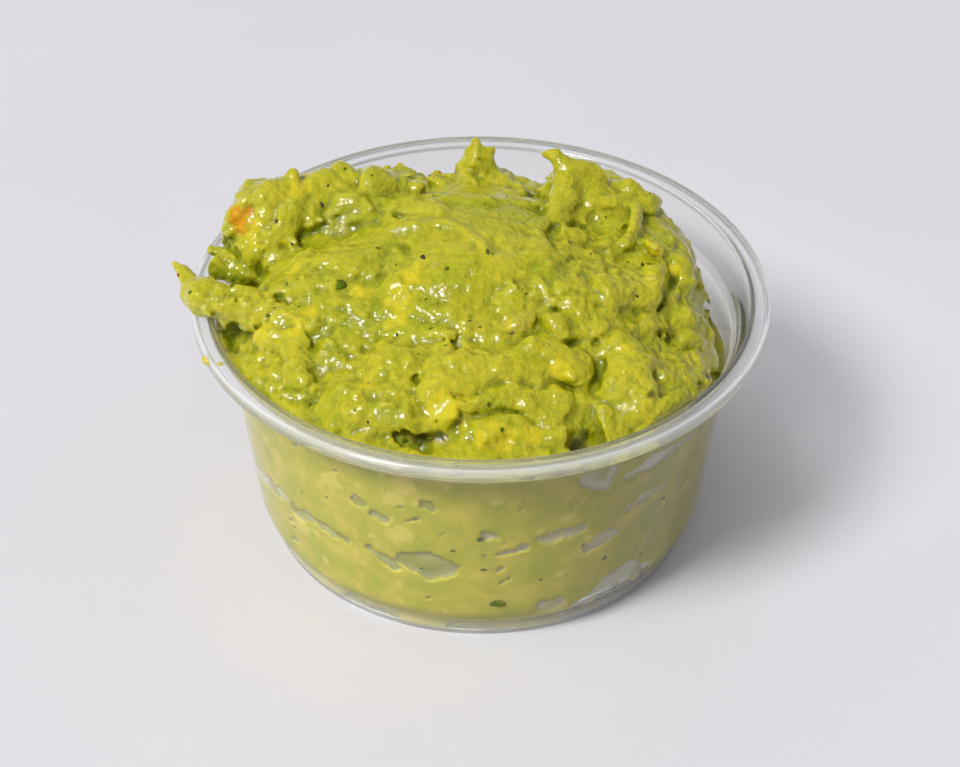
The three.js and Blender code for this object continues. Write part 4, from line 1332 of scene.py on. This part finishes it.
def lump(place, out, radii, spin, uneven, columns):
    """The points, quads and caps of a small closed lump lying on a surface that faces out."""
    side = out.orthogonal().normalized()
    side.rotate(Matrix.Rotation(spin, 3, out))
    turn = np.array([side, out.cross(side), out])
    rows = columns // 2
    down = np.pi * (np.arange(rows) + 0.5) / rows
    around = 2 * np.pi * np.arange(columns) / columns
    ball = np.stack([np.outer(np.sin(down), np.cos(around)), np.outer(np.sin(down), np.sin(around)),
                     np.outer(np.cos(down), np.ones(columns))], axis=-1).reshape(-1, 3)
    grown = 1 + uneven * noise(ball + place, 0.9, 61)
    points = (ball * grown[:, None] * radii) @ turn + place
    index = np.arange(rows * columns).reshape(rows, columns)
    across = np.roll(index, -1, axis=1)
    quads = np.stack([index[:-1], index[1:], across[1:], across[:-1]], axis=-1).reshape(-1, 4)
    return points, quads, np.array([index[0], index[-1][::-1]])


def lumps_object(name, lumps):
    """One object of all these lumps."""
    starts = np.cumsum([0] + [len(points) for points, _, _ in lumps])
    points = np.concatenate([points for points, _, _ in lumps])
    quads = np.concatenate([quads + start for start, (_, quads, _) in zip(starts, lumps)])
    caps = np.concatenate([caps + start for start, (_, _, caps) in zip(starts, lumps)])
    return mesh_object(name, points, [quads, caps])


def scattered(spots, flat, uneven, sunk=0.2, columns=12):
    """Lumps at spots of (place, facing, size), flattened and partly sunk into what they lie on."""
    lumps = []
    for place, out, size in spots:
        half = size / 2
        radii = np.array([half, half * RANDOM.uniform(0.55, 0.9), half * flat])
        centre = place - np.array(out) * radii[2] * sunk
        lumps.append(lump(centre, out, radii, RANDOM.uniform(0, math.pi), uneven, columns))
    return lumps


def on_piece(piece, spots):
    """Spots of (place, facing, size) for those of (pixel across, pixel down, size) that meet the piece."""
    found = [(seen_at(piece, across, down), size) for across, down, size in spots]
    return [(*where, size) for where, size in found if where]


def strewn(piece, count, small, large):
    """Spots all over a piece, for the sides that the photograph doesn't show."""
    spots = []
    while len(spots) < count:
        x, y = RANDOM.uniform(-STREWN_HALF, STREWN_HALF, 2)
        where = above(piece, x, y)
        if where and math.hypot(x, y) < STREWN_RADIUS:
            spots.append((*where, RANDOM.uniform(small, large)))
    return spots


def on_wall(spots):
    """Spots of (place, facing, size) for those of (angle, height, size) on the filling's side."""
    found = []
    for degrees, height, size in spots:
        turn = math.radians(degrees)
        out = Vector((math.cos(turn), math.sin(turn), 0))
        side = np.array(out * (inner_radius(height) + WALL_BITE))
        found.append((side + np.array([0, 0, height]), out, size))
    return found


def wall_spots(count, top, small, large):
    """This many spots all round the wall, up to a height, for on_wall."""
    return [(RANDOM.uniform(-180, 180), RANDOM.uniform(4, top), RANDOM.uniform(small, large))
            for _ in range(count)]


def tinted(piece, label, spots):
    """A float attribute on a piece that is 1 at these spots and fades out round them."""
    mesh = piece.data
    points = np.empty(len(mesh.vertices) * 3, np.float32)
    mesh.vertices.foreach_get("co", points)
    points = points.reshape(-1, 3) / MM
    ragged = 1 + 0.5 * noise(points, 1.4, 71) + 0.35 * noise(points, 0.7, 72)
    value = np.zeros(len(points), np.float32)
    for place, _, size in spots:
        away = np.linalg.norm(points - place, axis=1) / (size * ragged)
        value = np.maximum(value, smooth_step(-away, -1.1, -0.5))
    mesh.attributes.new(label, "FLOAT", "POINT").data.foreach_set("value", value)


def bit_material(name, colour, other, roughness, coat, soft):
    """A wet bit of something, mottled between two colours."""
    made, tree, shader = material(
        name, Roughness=roughness, Coat_Weight=coat, Coat_Roughness=0.05, Subsurface_Weight=soft,
        Subsurface_Scale=0.0005, Specular_IOR_Level=0.25)
    mottled = ramp(tree, grain(tree, 0.6, 3), [(0.35, colour), (0.65, other)])
    tree.links.new(mottled, shader.inputs["Base Color"])
    bumped(tree, shader, [(grain(tree, 0.3), 0.6, 0.08)])
    return made


def add_bits():
    """The pepper, herb, chili and other bits on the heap and behind the wall, and the drops on the lip."""
    bpy.context.view_layer.update()
    # Yellow bits, and painted light on the low front lobe
    tinted(heap, "yellow", on_piece(heap, YELLOW_AND_LIT_PATCHES) + strewn(heap, 14, 0.8, 2.0))
    tinted(heap, "orange", on_piece(heap, ORANGE_SPOTS))
    # Painted shade in cracks and hollows
    tinted(heap, "deep", on_piece(heap, PAINTED_SHADE_PATCHES))
    tinted(heap, "tan", on_piece(heap, TAN_PATCHES) + strewn(heap, 4, 0.6, 1.2))
    tinted(filling, "pale", on_wall(WALL_PALE_BITS + wall_spots(PALE_COUNT, 30, 0.25, 1.0)))
    green = on_wall(WALL_GREEN_BITS + wall_spots(GREEN_COUNT, 29, 0.2, 0.6))
    pepper = scattered(on_piece(heap, PEPPER_SPOTS) + strewn(heap, 14, 0.25, 0.5), flat=0.7, uneven=0.5)
    herb = scattered(on_piece(heap, HERB_SPOTS) + strewn(heap, 26, 0.25, 0.7) + green, flat=0.3, uneven=0.6)
    chili = scattered(on_piece(heap, CHILI_SPOTS) + strewn(heap, 4, 0.3, 0.5), flat=0.5, uneven=0.4)
    pale = scattered(on_piece(heap, PALE_SPOTS) + strewn(heap, 12, 0.4, 0.8), 0.5, 0.25, sunk=0.4, columns=20)
    orange = scattered(on_piece(heap, ORANGE_SPOTS[:2]), 0.35, 0.2, sunk=0.6, columns=28)
    drops = scattered(on_piece(cup, DROP_SPOTS), 0.6, 0.2, sunk=0, columns=20)
    # The piece, its lumps, its material and two colours, and how rough, coated and soft that is
    for name, lumps, *look in (
            ("pepper_flecks", pepper, "pepper", (0.02, 0.018, 0.012), (0.05, 0.04, 0.02), 0.5, 0.15, 0),
            ("herb_flecks", herb, "herb", (0.07, 0.12, 0), (0.14, 0.20, 0), 0.7, 0, 0),
            ("chili_flecks", chili, "chili", (0.35, 0.05, 0.01), (0.5, 0.14, 0.02), 0.35, 0.8, 0.3),
            ("pale_bits", pale, "pale_flesh", (0.70, 0.60, 0.06), (0.62, 0.56, 0.03), 0.3, 0.9, 1),
            ("orange_bit", orange, "orange_pepper", (0.72, 0.28, 0), (0.70, 0.38, 0), 0.6, 0.2, 0),
            ("lip_drops", drops, "drop", (0.66, 0.60, 0.05), (0.60, 0.55, 0.04), 0.3, 1, 1)):
        piece = lumps_object(name, lumps)
        piece.data.materials.append(bit_material(*look))
        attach(piece, "root")
        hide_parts("guacamole")


# ---- put together ----

camera = add_camera()
add_light()
add_floor()
bpy.context.scene.view_settings.view_transform = "Standard"
bpy.context.scene.cycles.max_bounces = 8
bpy.context.scene.cycles.diffuse_bounces = 3
bpy.context.scene.cycles.transmission_bounces = 8

heap = make_heap()
heap.data.materials.append(guacamole_material())
filling = make_filling()
filling.data.materials.append(filling_material())
for piece in (heap, filling):
    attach(piece, "root")
    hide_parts("guacamole")

cup = make_cup()
cup.data.materials.append(plastic_material())
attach(cup, "root")
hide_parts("cup")
add_bits()
